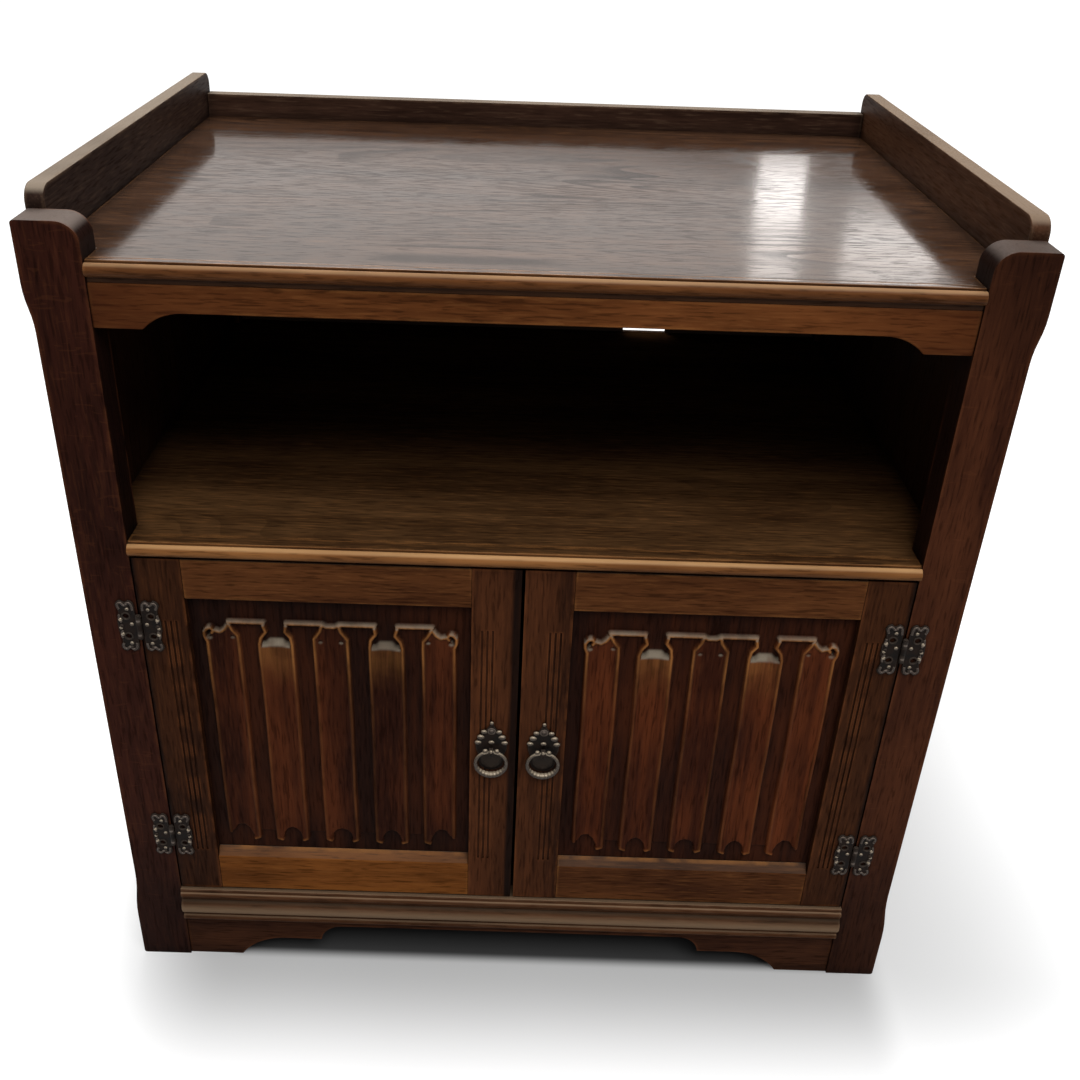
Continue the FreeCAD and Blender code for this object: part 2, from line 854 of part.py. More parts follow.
def make_leaf(name, way, axis_x, height, turns, nail_shanks):
    """One hinge leaf: pierced plate, with tabs that carry its turns of the barrel."""
    corners = [(axis_x + spot[0], height + spot[1]) + spot[2:] for spot in leaf_outline()]
    if way < 0:
        corners = [(axis_x - spot[0], height + spot[1]) + tuple(-bend for bend in spot[2:])
                   for spot in leaf_outline()]
    plate_ys = (front - dim.leaf_thickness, front)
    near = dim.knuckle_radius + dim.leaf_clearance
    parts = [front_board(name + "_plate", corners, plate_ys)]
    step = dim.knuckle_length + dim.knuckle_gap
    for turn in turns:
        low = height + turn * step - dim.knuckle_length / 2
        tab_xs = (axis_x, axis_x + near) if way > 0 else (axis_x - near, axis_x)
        label = "%s_turn_%d" % (name, turn + 2)
        parts.append(box(label + "_tab", tab_xs, plate_ys, (low, low + dim.knuckle_length)))
        parts.append(rod(label, "z", (axis_x, hinge_y, low), dim.knuckle_length, dim.knuckle_radius))
    bore_radius = dim.pin_radius + dim.pin_clearance
    bore_start = (axis_x, hinge_y, height - dim.hinge_height / 2)
    cuts = [rod(name + "_bore", "z", bore_start, dim.hinge_height, bore_radius)]
    middle = (near + dim.hinge_reach) / 2
    for number, rise in enumerate((-1, 1), start=1):
        spot = (axis_x + way * middle, plate_ys[0], height + rise * dim.hinge_height / 5)
        label = "%s_piercing_%d" % (name, number)
        cuts.append(rod(label, "y", spot, dim.leaf_thickness, dim.piercing_radius))
    keep(cut(name, fuse(name + "_blank", parts), cuts + nail_shanks))


def make_hinges(side, sign, post_shanks, door_shanks):
    axis_x = sign * hinge_x
    barrel = 3 * dim.knuckle_length + 2 * dim.knuckle_gap
    pins = []
    for level, height in hinge_heights:
        name = "%s_%s_hinge" % (side, level)
        make_leaf(name + "_post_leaf", sign, axis_x, height, (-1, 1), post_shanks[level])
        make_leaf(name + "_door_leaf", -sign, axis_x, height, (0,), door_shanks[level])
        low = height - barrel / 2
        shaft = rod(name + "_shaft", "z", (axis_x, hinge_y, low), barrel, dim.pin_radius)
        foot_spot = (axis_x, hinge_y, low - dim.nail_dome)
        foot = rod(name + "_pin_foot", "z", foot_spot, dim.nail_dome, dim.pin_head)
        head_spot = (axis_x, hinge_y, low + barrel)
        head = rod(name + "_pin_head", "z", head_spot, dim.nail_dome, dim.pin_head)
        pins.append(fuse(name + "_pin", [shaft, foot, head]))
    keep(group(side + "_hinge_pins", pins))


def make_pull(side, sign, bolt):
    """Pointed backplate, eye on a bolt with its nut, and the drop ring."""
    x = sign * pull_x
    z = dim.pull_height
    name = side + "_pull_"
    edge = dim.plate_width / 2
    shoulder_edge = dim.shoulder_width / 2
    shoulder = dim.plate_rise / 2
    flank = sagitta_radius(dim.plate_drop / 2, dim.plate_drop / 8)
    neck = sagitta_radius(dim.plate_rise / 4, dim.plate_rise / 16)
    corners = [
        (x, z - dim.plate_drop, flank * 2),
        (x + edge, z, flank),
        (x + shoulder_edge, z + shoulder, -neck * 2),
        (x, z + dim.plate_rise, -neck * 2),
        (x - shoulder_edge, z + shoulder, flank),
        (x - edge, z, flank * 2),
    ]
    plate = front_board(name + "plate_blank", corners, (front - dim.plate_thickness, front))
    keep(cut(name + "backplate", plate, [bolt]))

    eye_xs = (x - dim.eye_width / 2, x + dim.eye_width / 2)
    eye = rod(name + "eye_ring", "x", (eye_xs[0], ring_y, z), dim.eye_width, dim.eye_radius)
    neck_zs = (z - dim.bolt_radius, z + dim.bolt_radius)
    neck = box(name + "eye_neck", eye_xs, (ring_y, front - dim.plate_thickness), neck_zs)
    hole_radius = dim.ring_tube + dim.ring_clearance
    hole = rod(name + "eye_hole", "x", (eye_xs[0], ring_y, z), dim.eye_width, hole_radius)
    eye_head = cut(name + "eye_head", fuse(name + "eye_blank", [eye, neck]), [hole])
    keep(fuse(name + "eye", [eye_head, bolt]))

    nut = doc.addObject("Part::Prism", name + "nut_blank")
    nut.Polygon = 6
    bind(nut, "Circumradius", dim.nut_radius)
    along(nut, "y", (x, door_ys[1], z), dim.nut_height)
    keep(cut(name + "nut", nut, [bolt]))

    ring = doc.addObject("Part::Torus", side + "_drop_ring")
    ring.Placement = FreeCAD.Placement(FreeCAD.Vector(), TURNS["y"])
    bind(ring, "Radius1", dim.ring_radius)
    bind(ring, "Radius2", dim.ring_tube)
    place(ring, x, ring_y, z - dim.ring_radius)
    keep(ring)


def make_catch(side, sign):
    middle = sign * (door_inner + dim.meeting_stile / 2)
    height = shelf_under - dim.catch_height / 2
    strike_ys = (door_ys[1], door_ys[1] + dim.strike_thickness)
    keep(box(
        side + "_strike_plate",
        (middle - dim.strike_width / 2, middle + dim.strike_width / 2),
        strike_ys,
        (height - dim.strike_height / 2, height + dim.strike_height / 2),
    ))
    catch_front = strike_ys[1] + dim.catch_gap
    keep(box(
        side + "_door_catch",
        (middle - dim.catch_width / 2, middle + dim.catch_width / 2),
        (catch_front, catch_front + dim.catch_depth),
        (shelf_under - dim.catch_height, shelf_under),
    ))


def make_cabinet():
    apron_tenons = make_tenons("apron", (apron_low, top_under))
    base_tenons = make_tenons("base", (0 * plinth_under, plinth_under))
    make_top()
    make_top_apron(apron_tenons)
    make_shelf()
    make_base(base_tenons)
    make_back()
    for side, sign in SIDES:
        post_shanks = make_nails(side, sign, True)
        door_shanks = make_nails(side, sign, False)
        tenons = [apron_tenons[side], base_tenons[side]]
        make_post(side, sign, tenons, post_shanks["upper"] + post_shanks["lower"])
        make_side(side, sign)
        bolt_start = (sign * pull_x, front - dim.plate_thickness, dim.pull_height)
        bolt_length = dim.plate_thickness + dim.door_thickness + dim.nut_height + dim.strike_thickness
        bolt = rod(side + "_pull_bolt", "y", bolt_start, bolt_length, dim.bolt_radius)
        make_door(side, sign, door_shanks["upper"] + door_shanks["lower"], bolt)
        make_hinges(side, sign, post_shanks, door_shanks)
        make_pull(side, sign, bolt)
        make_catch(side, sign)


def export_pieces():
    """Writes each piece to its own file once every object of the document is sound."""
    for thing in doc.Objects:
        faults = [state for state in thing.State if state in ("Invalid", "Error")]
        if faults:
            raise RuntimeError("%s is %s" % (thing.Label, faults[0]))
    os.makedirs("parts", exist_ok=True)
    for piece in pieces:
        if piece.Shape.isNull() or not piece.Shape.isValid():
            raise RuntimeError(piece.Label + " has no sound shape")
        piece.Shape.exportStep("parts/%s.step" % piece.Label)
    print("%d pieces written" % len(pieces))


make_cabinet()
doc.recompute()
export_pieces()
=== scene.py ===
"""Looks of the oak side cabinet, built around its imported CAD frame."""

import math

import bmesh
import bpy
import numpy as np
from mathutils import Matrix, Vector


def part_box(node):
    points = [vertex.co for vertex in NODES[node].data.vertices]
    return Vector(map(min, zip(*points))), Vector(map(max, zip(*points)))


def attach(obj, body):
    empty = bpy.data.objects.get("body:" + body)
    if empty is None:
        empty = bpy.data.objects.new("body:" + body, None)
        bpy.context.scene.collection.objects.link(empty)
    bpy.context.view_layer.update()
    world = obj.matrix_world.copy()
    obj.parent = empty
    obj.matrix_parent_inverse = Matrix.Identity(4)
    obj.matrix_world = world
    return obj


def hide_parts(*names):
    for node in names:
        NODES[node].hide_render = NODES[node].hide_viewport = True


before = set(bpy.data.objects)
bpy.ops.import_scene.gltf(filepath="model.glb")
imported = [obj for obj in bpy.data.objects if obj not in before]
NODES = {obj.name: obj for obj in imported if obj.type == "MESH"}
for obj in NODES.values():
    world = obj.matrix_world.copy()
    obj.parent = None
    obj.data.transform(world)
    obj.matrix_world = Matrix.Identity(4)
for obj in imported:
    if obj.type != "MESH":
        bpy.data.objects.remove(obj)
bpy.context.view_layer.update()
MM = 0.001
SIDES = {"left": -1, "right": 1}
WHITE = (1.0, 1.0, 1.0, 1.0)


def srgb(red, green, blue):
    """A colour written as 0 to 255 display values, as the linear RGBA that shaders take."""
    linear = []
    for channel in (red, green, blue):
        value = channel / 255
        linear.append(value / 12.92 if value <= 0.04045 else ((value + 0.055) / 1.055) ** 2.4)
    return (*linear, 1.0)


UNSTRETCHED = (1.0, 1.0, 1.0)
BOARD_SHIFT = (3.1, 5.3, 7.7)
NOISE_SPREAD = (0.3, 0.7)
EDGE_RANGE = (0.92, 0.45)
CORNER_RANGE = (0.95, 0.35)
OCCLUSION_SAMPLES = 3


class Nodes:
    """A node tree while it is put together."""

    def __init__(self, tree):
        self.tree = tree
        self.tree.nodes.clear()

    def feed(self, socket, value):
        """Links another node's output to a socket, or fills it with a constant."""
        if isinstance(value, bpy.types.NodeSocket):
            self.tree.links.new(value, socket)
        else:
            socket.default_value = value

    def add(self, kind, inputs=None, **settings):
        """Adds a node, sets its settings and feeds its inputs."""
        node = self.tree.nodes.new("ShaderNode" + kind)
        for key, value in settings.items():
            setattr(node, key, value)
        for key, value in (inputs or {}).items():
            self.feed(node.inputs[key], value)
        return node

    def stretched(self, scale):
        """Object coordinates in metres, scaled per axis and shifted from one board to the next."""
        place = self.add("TexCoord").outputs["Object"]
        board = self.add("ObjectInfo").outputs["Random"]
        shift = self.add("VectorMath", {0: board, 1: BOARD_SHIFT}, operation="MULTIPLY")
        moved = self.add("VectorMath", {0: place, 1: shift.outputs[0]}, operation="ADD")
        return self.add("Mapping", {"Vector": moved.outputs[0], "Scale": scale}).outputs["Vector"]

    def noise(self, vector, pattern):
        """Noise from a pattern of scale, detail and distortion."""
        scale, detail, distortion = pattern
        inputs = {"Vector": vector, "Scale": scale, "Detail": detail, "Distortion": distortion}
        return self.add("TexNoise", inputs).outputs["Fac"]

    def ramp(self, value, low, high, start=0.0, end=1.0):
        """Maps low..high to start..end, clamped and eased."""
        inputs = {"Value": value, "From Min": low, "From Max": high, "To Min": start, "To Max": end}
        return self.add("MapRange", inputs, interpolation_type="SMOOTHSTEP").outputs["Result"]

    def maths(self, operation, first, second=0.0):
        return self.add("Math", {0: first, 1: second}, operation=operation).outputs[0]

    def scaled(self, value, share):
        return self.maths("MULTIPLY", value, share)

    def mix(self, factor, first, second):
        """Blends from a first colour to a second."""
        node = self.add("Mix", data_type="RGBA")
        sockets = {socket.identifier: socket for socket in node.inputs}
        for name, value in (("Factor_Float", factor), ("A_Color", first), ("B_Color", second)):
            self.feed(sockets[name], value)
        return next(socket for socket in node.outputs if socket.identifier == "Result_Color")

    def edges(self, reach):
        """1 along outer edges, 0 on flat faces."""
        inputs = {"Distance": reach}
        node = self.add("AmbientOcclusion", inputs, inside=True, samples=OCCLUSION_SAMPLES)
        return self.ramp(node.outputs["AO"], *EDGE_RANGE)

    def corners(self, reach):
        """1 in inner corners and carved hollows, 0 on open faces."""
        node = self.add("AmbientOcclusion", {"Distance": reach}, samples=OCCLUSION_SAMPLES)
        return self.ramp(node.outputs["AO"], *CORNER_RANGE)

    def normal(self, axis):
        """How far a face looks along one axis of the room."""
        direction = self.add("NewGeometry").outputs["Normal"]
        return self.add("SeparateXYZ", {0: direction}).outputs[axis]

    def place(self, axis):
        """The object coordinate along one axis, in metres."""
        return self.add("SeparateXYZ", {0: self.add("TexCoord").outputs["Object"]}).outputs[axis]

    def attribute(self, name):
        return self.add("Attribute", attribute_name=name).outputs["Fac"]

    def bump(self, height, strength, distance):
        inputs = {"Height": height, "Strength": strength, "Distance": distance}
        return self.add("Bump", inputs).outputs["Normal"]

    def seen(self):
        """1 for rays that show a picture of what they meet, 0 for rays that only gather light."""
        path = self.add("LightPath")
        direct = self.maths("MAXIMUM", path.outputs["Is Camera Ray"], path.outputs["Is Glossy Ray"])
        return self.maths("MAXIMUM", direct, path.outputs["Is Transmission Ray"])


class Shader(Nodes):
    """One node material while it is put together."""

    def __init__(self, name):
        self.material = bpy.data.materials.new(name)
        self.material.use_nodes = True
        super().__init__(self.material.node_tree)

    def finish(self, colour, roughness, bump, **sockets):
        """Ends the material with one coat of these looks."""
        inputs = {"Base Color": colour, "Roughness": roughness, "Normal": bump}
        inputs.update({key.replace("_", " "): value for key, value in sockets.items()})
        coat = self.add("BsdfPrincipled", inputs)
        self.add("OutputMaterial", {"Surface": coat.outputs["BSDF"]})
        return self.material


# Stained oak. The grain runs along one axis of the board.

# Black wax in the pores and ring lines, also used as painted shade in corners and door gaps.
BLACK_WAX_AND_SHADE = srgb(12, 7, 6)
# Painted shade, laid into carved hollows, inward faces, the back of the shelf, a cove and bands under beads.
PAINTED_SHADE_BROWN = srgb(16, 9, 7)
END_STAIN = srgb(52, 22, 13)
WORN_GOLD = srgb(170, 114, 62)
WORN_BROWN = srgb(112, 66, 40)
WORN_GREY = srgb(132, 106, 84)
TOP_DUST_AND_LIGHT = srgb(132, 108, 82)
DUSTY_AND_LIT = srgb(88, 79, 70)
LEDGE_GREY = srgb(134, 122, 106)
WARM_TINT = (1.0, 0.78, 0.62, 1.0)
SOFT_SHEEN = 0.02
BEAD_SHEEN = 0.05
POLISHED_SHEEN = 0.95

# Noise patterns: scale, detail and distortion.
BROAD_FIGURE = (20.0, 4.0, 0.8)
FINE_STREAKS = (170.0, 3.0, 0.4)
CLOUDS = (7.0, 3.0, 0.0)
PORE_DASHES = (460.0, 3.0, 0.3)
RAYS = (1.0, 1.0, 1.4)
HEARTWOOD = (7.0, 1.6, 0.5)
RUBBING = (38.0, 4.0, 0.0)
DENTS = (55.0, 2.0, 0.0)

GRAIN_STRETCH = 0.055
PORE_STRETCH = 0.09
RING_STRETCH = 0.13
RAY_STRETCH_ALONG, RAY_STRETCH_ACROSS = 190.0, 38.0
BROAD_SHARE, STREAK_SHARE, CLOUD_SHARE = 0.42, 0.24, 0.34
PORE_RANGE = (0.52, 0.66)
PALE_DASH_RANGE = (0.46, 0.32)
PALE_DASH_SHARE = 0.11
RAY_RANGE = (0.64, 0.72)
RING_COUNT = 24.0
RING_RANGE = (0.45, 0.95)
RING_PATCHES = (0.35, 0.65)
RUBBED_RANGE = (0.36, 0.62)
INNER_FACES = (-0.15, -0.3)
INNER_SHADE = 0.8
SHELF_SHADE_RANGE = (-0.22, 0.0)
SHELF_SHADE = 0.45
UPWARD_FACES = (0.45, 0.85)
TOP_DUST_AND_LIGHT_PATCHES = (0.3, 0.6)
LEAST_TOP_DUST_AND_LIGHT = 0.7
EDGE_WEAR_REACH = 3.5 * MM
CORNER_REACH = 14 * MM
CORNER_DIRT_AND_SHADE = 0.75
DARK_END_RANGE = (0.16, 0.36)
DARK_END_SHARE = 0.6
SMOOTHER, ROUGHER = 0.02, 0.03
OPEN_GRAIN_ROUGHNESS = 0.09
OPEN_GRAIN_SHEEN = 0.55
STREAK_RISE, PORE_DROP, DENT_RISE = 0.35, 0.5, 0.5
GRAIN_DEPTH = 0.5 * MM

CARVED_HOLLOW = 0.6
CARVED_SHADE = 0.6
LEAST_RUBBED = 0.6
LEAST_STREAKED = 0.4
DOOR_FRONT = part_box("left_door_hinge_stile")[0].y
GAP_SHADE_REACH = 5 * MM
GAP_SHADE_SHARE = 0.9
# Painted light and painted shade that make the plinth's reed read as a hollow.
COVE_LIGHT, COVE_SHADE = 0.65, 0.75
COVE_LIGHT_TOP, COVE_LIGHT_FOOT = 2 * MM, 7 * MM
COVE_SHADE_REACH = 6 * MM


def along_grain(grain, along, across=1.0):
    """A scale per axis with one value along the grain and another across it."""
    return tuple(along if axis == grain else across for axis in "xyz")


def carved_wear_shade_and_light(shader, colour, rubbed, streaks):
    """Paints shade in the hollows of a carving, rubs its crests, and dusts its ledges with painted top light
    on them.
    """
    # Painted shade in the carving's hollows.
    hollow = shader.ramp(shader.attribute("relief"), CARVED_HOLLOW, 0.0, 0.0, CARVED_SHADE)
    colour = shader.mix(hollow, colour, PAINTED_SHADE_BROWN)
    patchy = shader.ramp(rubbed, 0.0, 1.0, LEAST_RUBBED, 1.0)
    uneven = shader.scaled(patchy, shader.ramp(streaks, *NOISE_SPREAD, LEAST_STREAKED, 1.0))
    colour = shader.mix(shader.scaled(shader.attribute("rubbed"), uneven), colour, WORN_GOLD)
    # Dust and painted top light on upward ledges.
    return shader.mix(shader.scaled(shader.attribute("ledge"), patchy), colour, LEDGE_GREY)


def painted_gap_shade(shader, colour, shade_start, shade_full):
    """Paints shade on the front of a door's edge by the gap, from the x where it starts to the x where it is
    black.
    """
    on_front = shader.ramp(shader.place("Y"), DOOR_FRONT + GAP_SHADE_REACH, DOOR_FRONT + GAP_SHADE_REACH / 2)
    along_edge = shader.ramp(shader.place("X"), shade_start, shade_full, 0.0, GAP_SHADE_SHARE)
    return shader.mix(shader.scaled(along_edge, on_front), colour, BLACK_WAX_AND_SHADE)


def painted_cove_light_and_shade(shader, colour, low, high, dust_and_light):
    """Paints the reed between two heights as a hollow: painted light low in it and painted shade high in it.
    """
    off_middle = shader.maths("ABSOLUTE", shader.maths("SUBTRACT", shader.place("Z"), (low + high) / 2))
    within = shader.maths("LESS_THAN", off_middle, (high - low) / 2)
    painted_light_low = shader.ramp(shader.place("Z"), high - COVE_LIGHT_TOP, low + COVE_LIGHT_FOOT, 0.0, COVE_LIGHT)
    shaded = shader.ramp(shader.place("Z"), high - COVE_SHADE_REACH, high, 0.0, COVE_SHADE)
    colour = shader.mix(shader.scaled(within, painted_light_low), colour, dust_and_light)
    return shader.mix(shader.scaled(within, shaded), colour, PAINTED_SHADE_BROWN)


def oak(name, grain, dark, light, worn=WORN_BROWN, contrast=0.17, pore_share=0.42, flecks=0.0, rings=0.0,
        wear=0.5, top_dust_and_light=0.0, top_dust_and_light_colour=TOP_DUST_AND_LIGHT, polish=0.45, sheen=SOFT_SHEEN, tint=WHITE, relief=0.22,
        carved=False, dark_inside=False, shaded_back=False, dark_ends=False, gap_shade=None, cove=None, shades=()):
    """Oak stained between two colours and rubbed along its edges, with dust and painted top light on upward
    faces, and dirt and painted shade in its corners.
    """
    shader = Shader(name)
    figure_place = shader.stretched(along_grain(grain, GRAIN_STRETCH))
    pore_place = shader.stretched(along_grain(grain, PORE_STRETCH))
    plain_place = shader.stretched(UNSTRETCHED)

    broad = shader.noise(figure_place, BROAD_FIGURE)
    streaks = shader.noise(figure_place, FINE_STREAKS)
    clouds = shader.noise(plain_place, CLOUDS)
    dashes = shader.noise(pore_place, PORE_DASHES)
    pores = shader.ramp(dashes, *PORE_RANGE)
    rubbed = shader.ramp(shader.noise(plain_place, RUBBING), *RUBBED_RANGE)
    figure = shader.maths("ADD", shader.scaled(broad, BROAD_SHARE), shader.scaled(streaks, STREAK_SHARE))
    figure = shader.maths("ADD", figure, shader.scaled(clouds, CLOUD_SHARE))

    colour = shader.mix(shader.ramp(figure, 0.5 - contrast, 0.5 + contrast), dark, light)
    colour = shader.mix(shader.ramp(dashes, *PALE_DASH_RANGE, 0.0, PALE_DASH_SHARE), colour, worn)
    colour = shader.mix(shader.scaled(pores, pore_share), colour, BLACK_WAX_AND_SHADE)
    open_grain = pores
    if flecks:
        ray_place = shader.stretched(along_grain(grain, RAY_STRETCH_ALONG, RAY_STRETCH_ACROSS))
        rays = shader.noise(ray_place, RAYS)
        colour = shader.mix(shader.ramp(rays, *RAY_RANGE, 0.0, flecks), colour, worn)
    if rings:
        heart = shader.noise(shader.stretched(along_grain(grain, RING_STRETCH)), HEARTWOOD)
        growth = shader.maths("FRACT", shader.scaled(heart, RING_COUNT))
        ring_lines = shader.scaled(shader.ramp(growth, *RING_RANGE), shader.ramp(clouds, *RING_PATCHES))
        colour = shader.mix(shader.scaled(ring_lines, rings), colour, BLACK_WAX_AND_SHADE)
        open_grain = shader.maths("MAXIMUM", pores, ring_lines)
    if carved:
        colour = carved_wear_shade_and_light(shader, colour, rubbed, streaks)
    # Painted shade on faces turned inwards.
    if dark_inside:
        turned_in = shader.scaled(shader.normal("X"), shader.place("X"))
        colour = shader.mix(shader.ramp(turned_in, *INNER_FACES, 0.0, INNER_SHADE), colour, PAINTED_SHADE_BROWN)
    # Painted shade that deepens towards the back of the shelf.
    if shaded_back:
        behind = shader.ramp(shader.place("Y"), *SHELF_SHADE_RANGE, 0.0, SHELF_SHADE)
        colour = shader.mix(behind, colour, PAINTED_SHADE_BROWN)

    # Upward faces get dust and a painted top light.
    if top_dust_and_light:
        upward = shader.ramp(shader.normal("Z"), *UPWARD_FACES, 0.0, top_dust_and_light)
        patches = shader.ramp(clouds, *TOP_DUST_AND_LIGHT_PATCHES, LEAST_TOP_DUST_AND_LIGHT, 1.0)
        colour = shader.mix(shader.scaled(upward, patches), colour, top_dust_and_light_colour)
    worn_edge = shader.scaled(shader.edges(EDGE_WEAR_REACH), shader.scaled(rubbed, wear))
    colour = shader.mix(worn_edge, colour, worn)
    # Dirt and painted shade in inner corners and hollows.
    colour = shader.mix(shader.scaled(shader.corners(CORNER_REACH), CORNER_DIRT_AND_SHADE), colour, BLACK_WAX_AND_SHADE)
    if dark_ends:
        off_middle = shader.maths("ABSOLUTE", shader.place("X"))
        colour = shader.mix(shader.ramp(off_middle, *DARK_END_RANGE, 0.0, DARK_END_SHARE), colour, END_STAIN)
    # Painted shade on a door's edge at the gap.
    if gap_shade:
        colour = painted_gap_shade(shader, colour, *gap_shade)
    # A painted cove: painted light low and painted shade high on a reed.
    if cove:
        colour = painted_cove_light_and_shade(shader, colour, *cove, top_dust_and_light_colour)
    # Painted shade bands.
    for start, end, share in shades:
        colour = shader.mix(shader.ramp(shader.place("Z"), start, end, 0.0, share), colour, PAINTED_SHADE_BROWN)

    roughness = shader.ramp(clouds, *NOISE_SPREAD, polish - SMOOTHER, polish + ROUGHER)
    roughness = shader.maths("ADD", roughness, shader.scaled(open_grain, OPEN_GRAIN_ROUGHNESS))
    dents = shader.noise(plain_place, DENTS)
    height = shader.maths("SUBTRACT", shader.scaled(streaks, STREAK_RISE), shader.scaled(pores, PORE_DROP))
    height = shader.maths("ADD", height, shader.scaled(dents, DENT_RISE))
    bump = shader.bump(height, relief, GRAIN_DEPTH)
    gloss = shader.ramp(open_grain, 0.0, 1.0, sheen, sheen * OPEN_GRAIN_SHEEN)
    return shader.finish(colour, roughness, bump, Specular_IOR_Level=gloss, Specular_Tint=tint)


# Colours for upward faces, with dust and painted top light.
POST_TOP = srgb(112, 101, 94)
GALLERY_TOP = srgb(138, 124, 109)
RIGHT_GALLERY_TOP = srgb(128, 110, 93)
TOP_BEAD_DUST_AND_LIGHT = srgb(180, 144, 106)
SHELF_BEAD_DUST_AND_LIGHT = srgb(196, 152, 104)
PLINTH_DUST_AND_LIGHT = srgb(158, 131, 104)
REED_BROWN = srgb(124, 73, 41)
BEAD_TAN = srgb(150, 104, 64)
PLINTH_COVE = (70 * MM, 91 * MM)

# Painted shade bands: the height where one starts, the height where it is full, and how dark it is there.
BEAD_DEPTH = 14.5 * MM
TOP_BEAD_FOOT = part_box("top_board")[1].z - BEAD_DEPTH
SHELF_BEAD_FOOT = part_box("shelf_board")[1].z - BEAD_DEPTH
UNDER_TOP_BEAD = (TOP_BEAD_FOOT + 2 * MM, TOP_BEAD_FOOT, 0.7)
UNDER_SHELF_BEAD = (SHELF_BEAD_FOOT + 4 * MM, SHELF_BEAD_FOOT + 2 * MM, 0.7)
DARK_FOOT = (0.24, 0.06, 0.5)
DARK_EAR = (0.68, 0.79, 0.4)

# The right post is a lighter copy of the left post, as painted light from the right.
left_post_oak = oak("left_post_oak", "z", srgb(34, 15, 10), srgb(62, 31, 22), top_dust_and_light=0.8, flecks=0.1,
                    dark_inside=True, top_dust_and_light_colour=POST_TOP, shades=(DARK_FOOT,))
right_post_oak = oak("right_post_oak", "z", srgb(44, 21, 13), srgb(80, 44, 27), top_dust_and_light=0.8, flecks=0.1,
                     dark_inside=True, top_dust_and_light_colour=POST_TOP, shades=(DARK_FOOT, DARK_EAR))

MEETING_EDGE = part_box("left_door_meeting_stile")[1].x
HINGE_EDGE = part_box("right_door_hinge_stile")[1].x
# Painted shade along the door edges at the gaps.
meeting_gap_shade = {"left": (MEETING_EDGE - 2 * GAP_SHADE_REACH, MEETING_EDGE - GAP_SHADE_REACH), "right": None}
hinge_stile_oak = {}
meeting_stile_oak = {}
for side, sign in SIDES.items():
    hinge_gap_shade = (sign * (HINGE_EDGE - GAP_SHADE_REACH), sign * HINGE_EDGE)
    hinge_stile_oak[side] = oak(f"{side}_hinge_stile_oak", "z", srgb(34, 17, 9), srgb(68, 38, 21),
                                REED_BROWN, wear=0.6, contrast=0.2, gap_shade=hinge_gap_shade)
    meeting_stile_oak[side] = oak(f"{side}_meeting_stile_oak", "z", srgb(40, 21, 12), srgb(80, 45, 26),
                                  REED_BROWN, wear=0.6, contrast=0.13, gap_shade=meeting_gap_shade[side])

# The right carving is a lighter copy of the left carving, as painted light from the right.
carved_oak = {
    "left": oak("left_carved_oak", "z", srgb(40, 17, 9), srgb(84, 42, 23),
                wear=0.3, carved=True, contrast=0.12),
    "right": oak("right_carved_oak", "z", srgb(50, 22, 12), srgb(102, 51, 27),
                 wear=0.3, carved=True, contrast=0.12),
}
rail_oak = oak("rail_oak", "x", srgb(58, 30, 15), srgb(102, 61, 33), WORN_GOLD,
               top_dust_and_light=0.9, top_dust_and_light_colour=DUSTY_AND_LIT)
golden_oak = oak("golden_oak", "x", srgb(84, 46, 18), srgb(138, 82, 36), WORN_GOLD,
                 top_dust_and_light=0.9, top_dust_and_light_colour=DUSTY_AND_LIT)
apron_oak = oak("apron_oak", "x", srgb(74, 40, 19), srgb(126, 74, 38), WORN_GOLD, dark_ends=True)
base_oak = oak("base_oak", "x", srgb(44, 23, 14), srgb(76, 45, 28))
dark_oak = oak("dark_oak", "x", srgb(20, 13, 10), srgb(36, 24, 18), wear=0.3)
side_oak = oak("side_oak", "z", srgb(60, 32, 19), srgb(100, 59, 35), dark_inside=True, contrast=0.13)
top_oak = oak("top_oak", "x", srgb(45, 29, 20), srgb(82, 57, 41), WORN_GOLD, polish=0.1,
              sheen=POLISHED_SHEEN, rings=0.75, relief=0.07, tint=WARM_TINT)
shelf_oak = oak("shelf_oak", "x", srgb(50, 31, 17), srgb(88, 61, 36), WORN_GOLD,
                sheen=0.0, rings=0.25, shaded_back=True)
top_bead_oak = oak("top_bead_oak", "x", srgb(62, 34, 16), srgb(108, 66, 35), BEAD_TAN, wear=0.3,
                   polish=0.36, sheen=BEAD_SHEEN, top_dust_and_light=0.55, top_dust_and_light_colour=TOP_BEAD_DUST_AND_LIGHT,
                   shades=(UNDER_TOP_BEAD,))
shelf_bead_oak = oak("shelf_bead_oak", "x", srgb(94, 56, 28), srgb(152, 102, 58), BEAD_TAN, wear=0.3,
                     polish=0.36, sheen=BEAD_SHEEN, top_dust_and_light=0.8, top_dust_and_light_colour=SHELF_BEAD_DUST_AND_LIGHT,
                     shades=(UNDER_SHELF_BEAD,))
plinth_oak = oak("plinth_oak", "x", srgb(48, 28, 17), srgb(84, 53, 33), WORN_GREY,
                 top_dust_and_light=0.6, top_dust_and_light_colour=PLINTH_DUST_AND_LIGHT, cove=PLINTH_COVE)
left_gallery_oak = oak("left_gallery_oak", "y", srgb(34, 22, 18), srgb(56, 41, 34), WORN_GREY,
                       top_dust_and_light=1.0, relief=0.05, top_dust_and_light_colour=GALLERY_TOP, pore_share=0.15)
right_gallery_oak = oak("right_gallery_oak", "y", srgb(46, 28, 18), srgb(78, 51, 35), WORN_GREY,
                        top_dust_and_light=1.0, relief=0.05, top_dust_and_light_colour=RIGHT_GALLERY_TOP, pore_share=0.15)
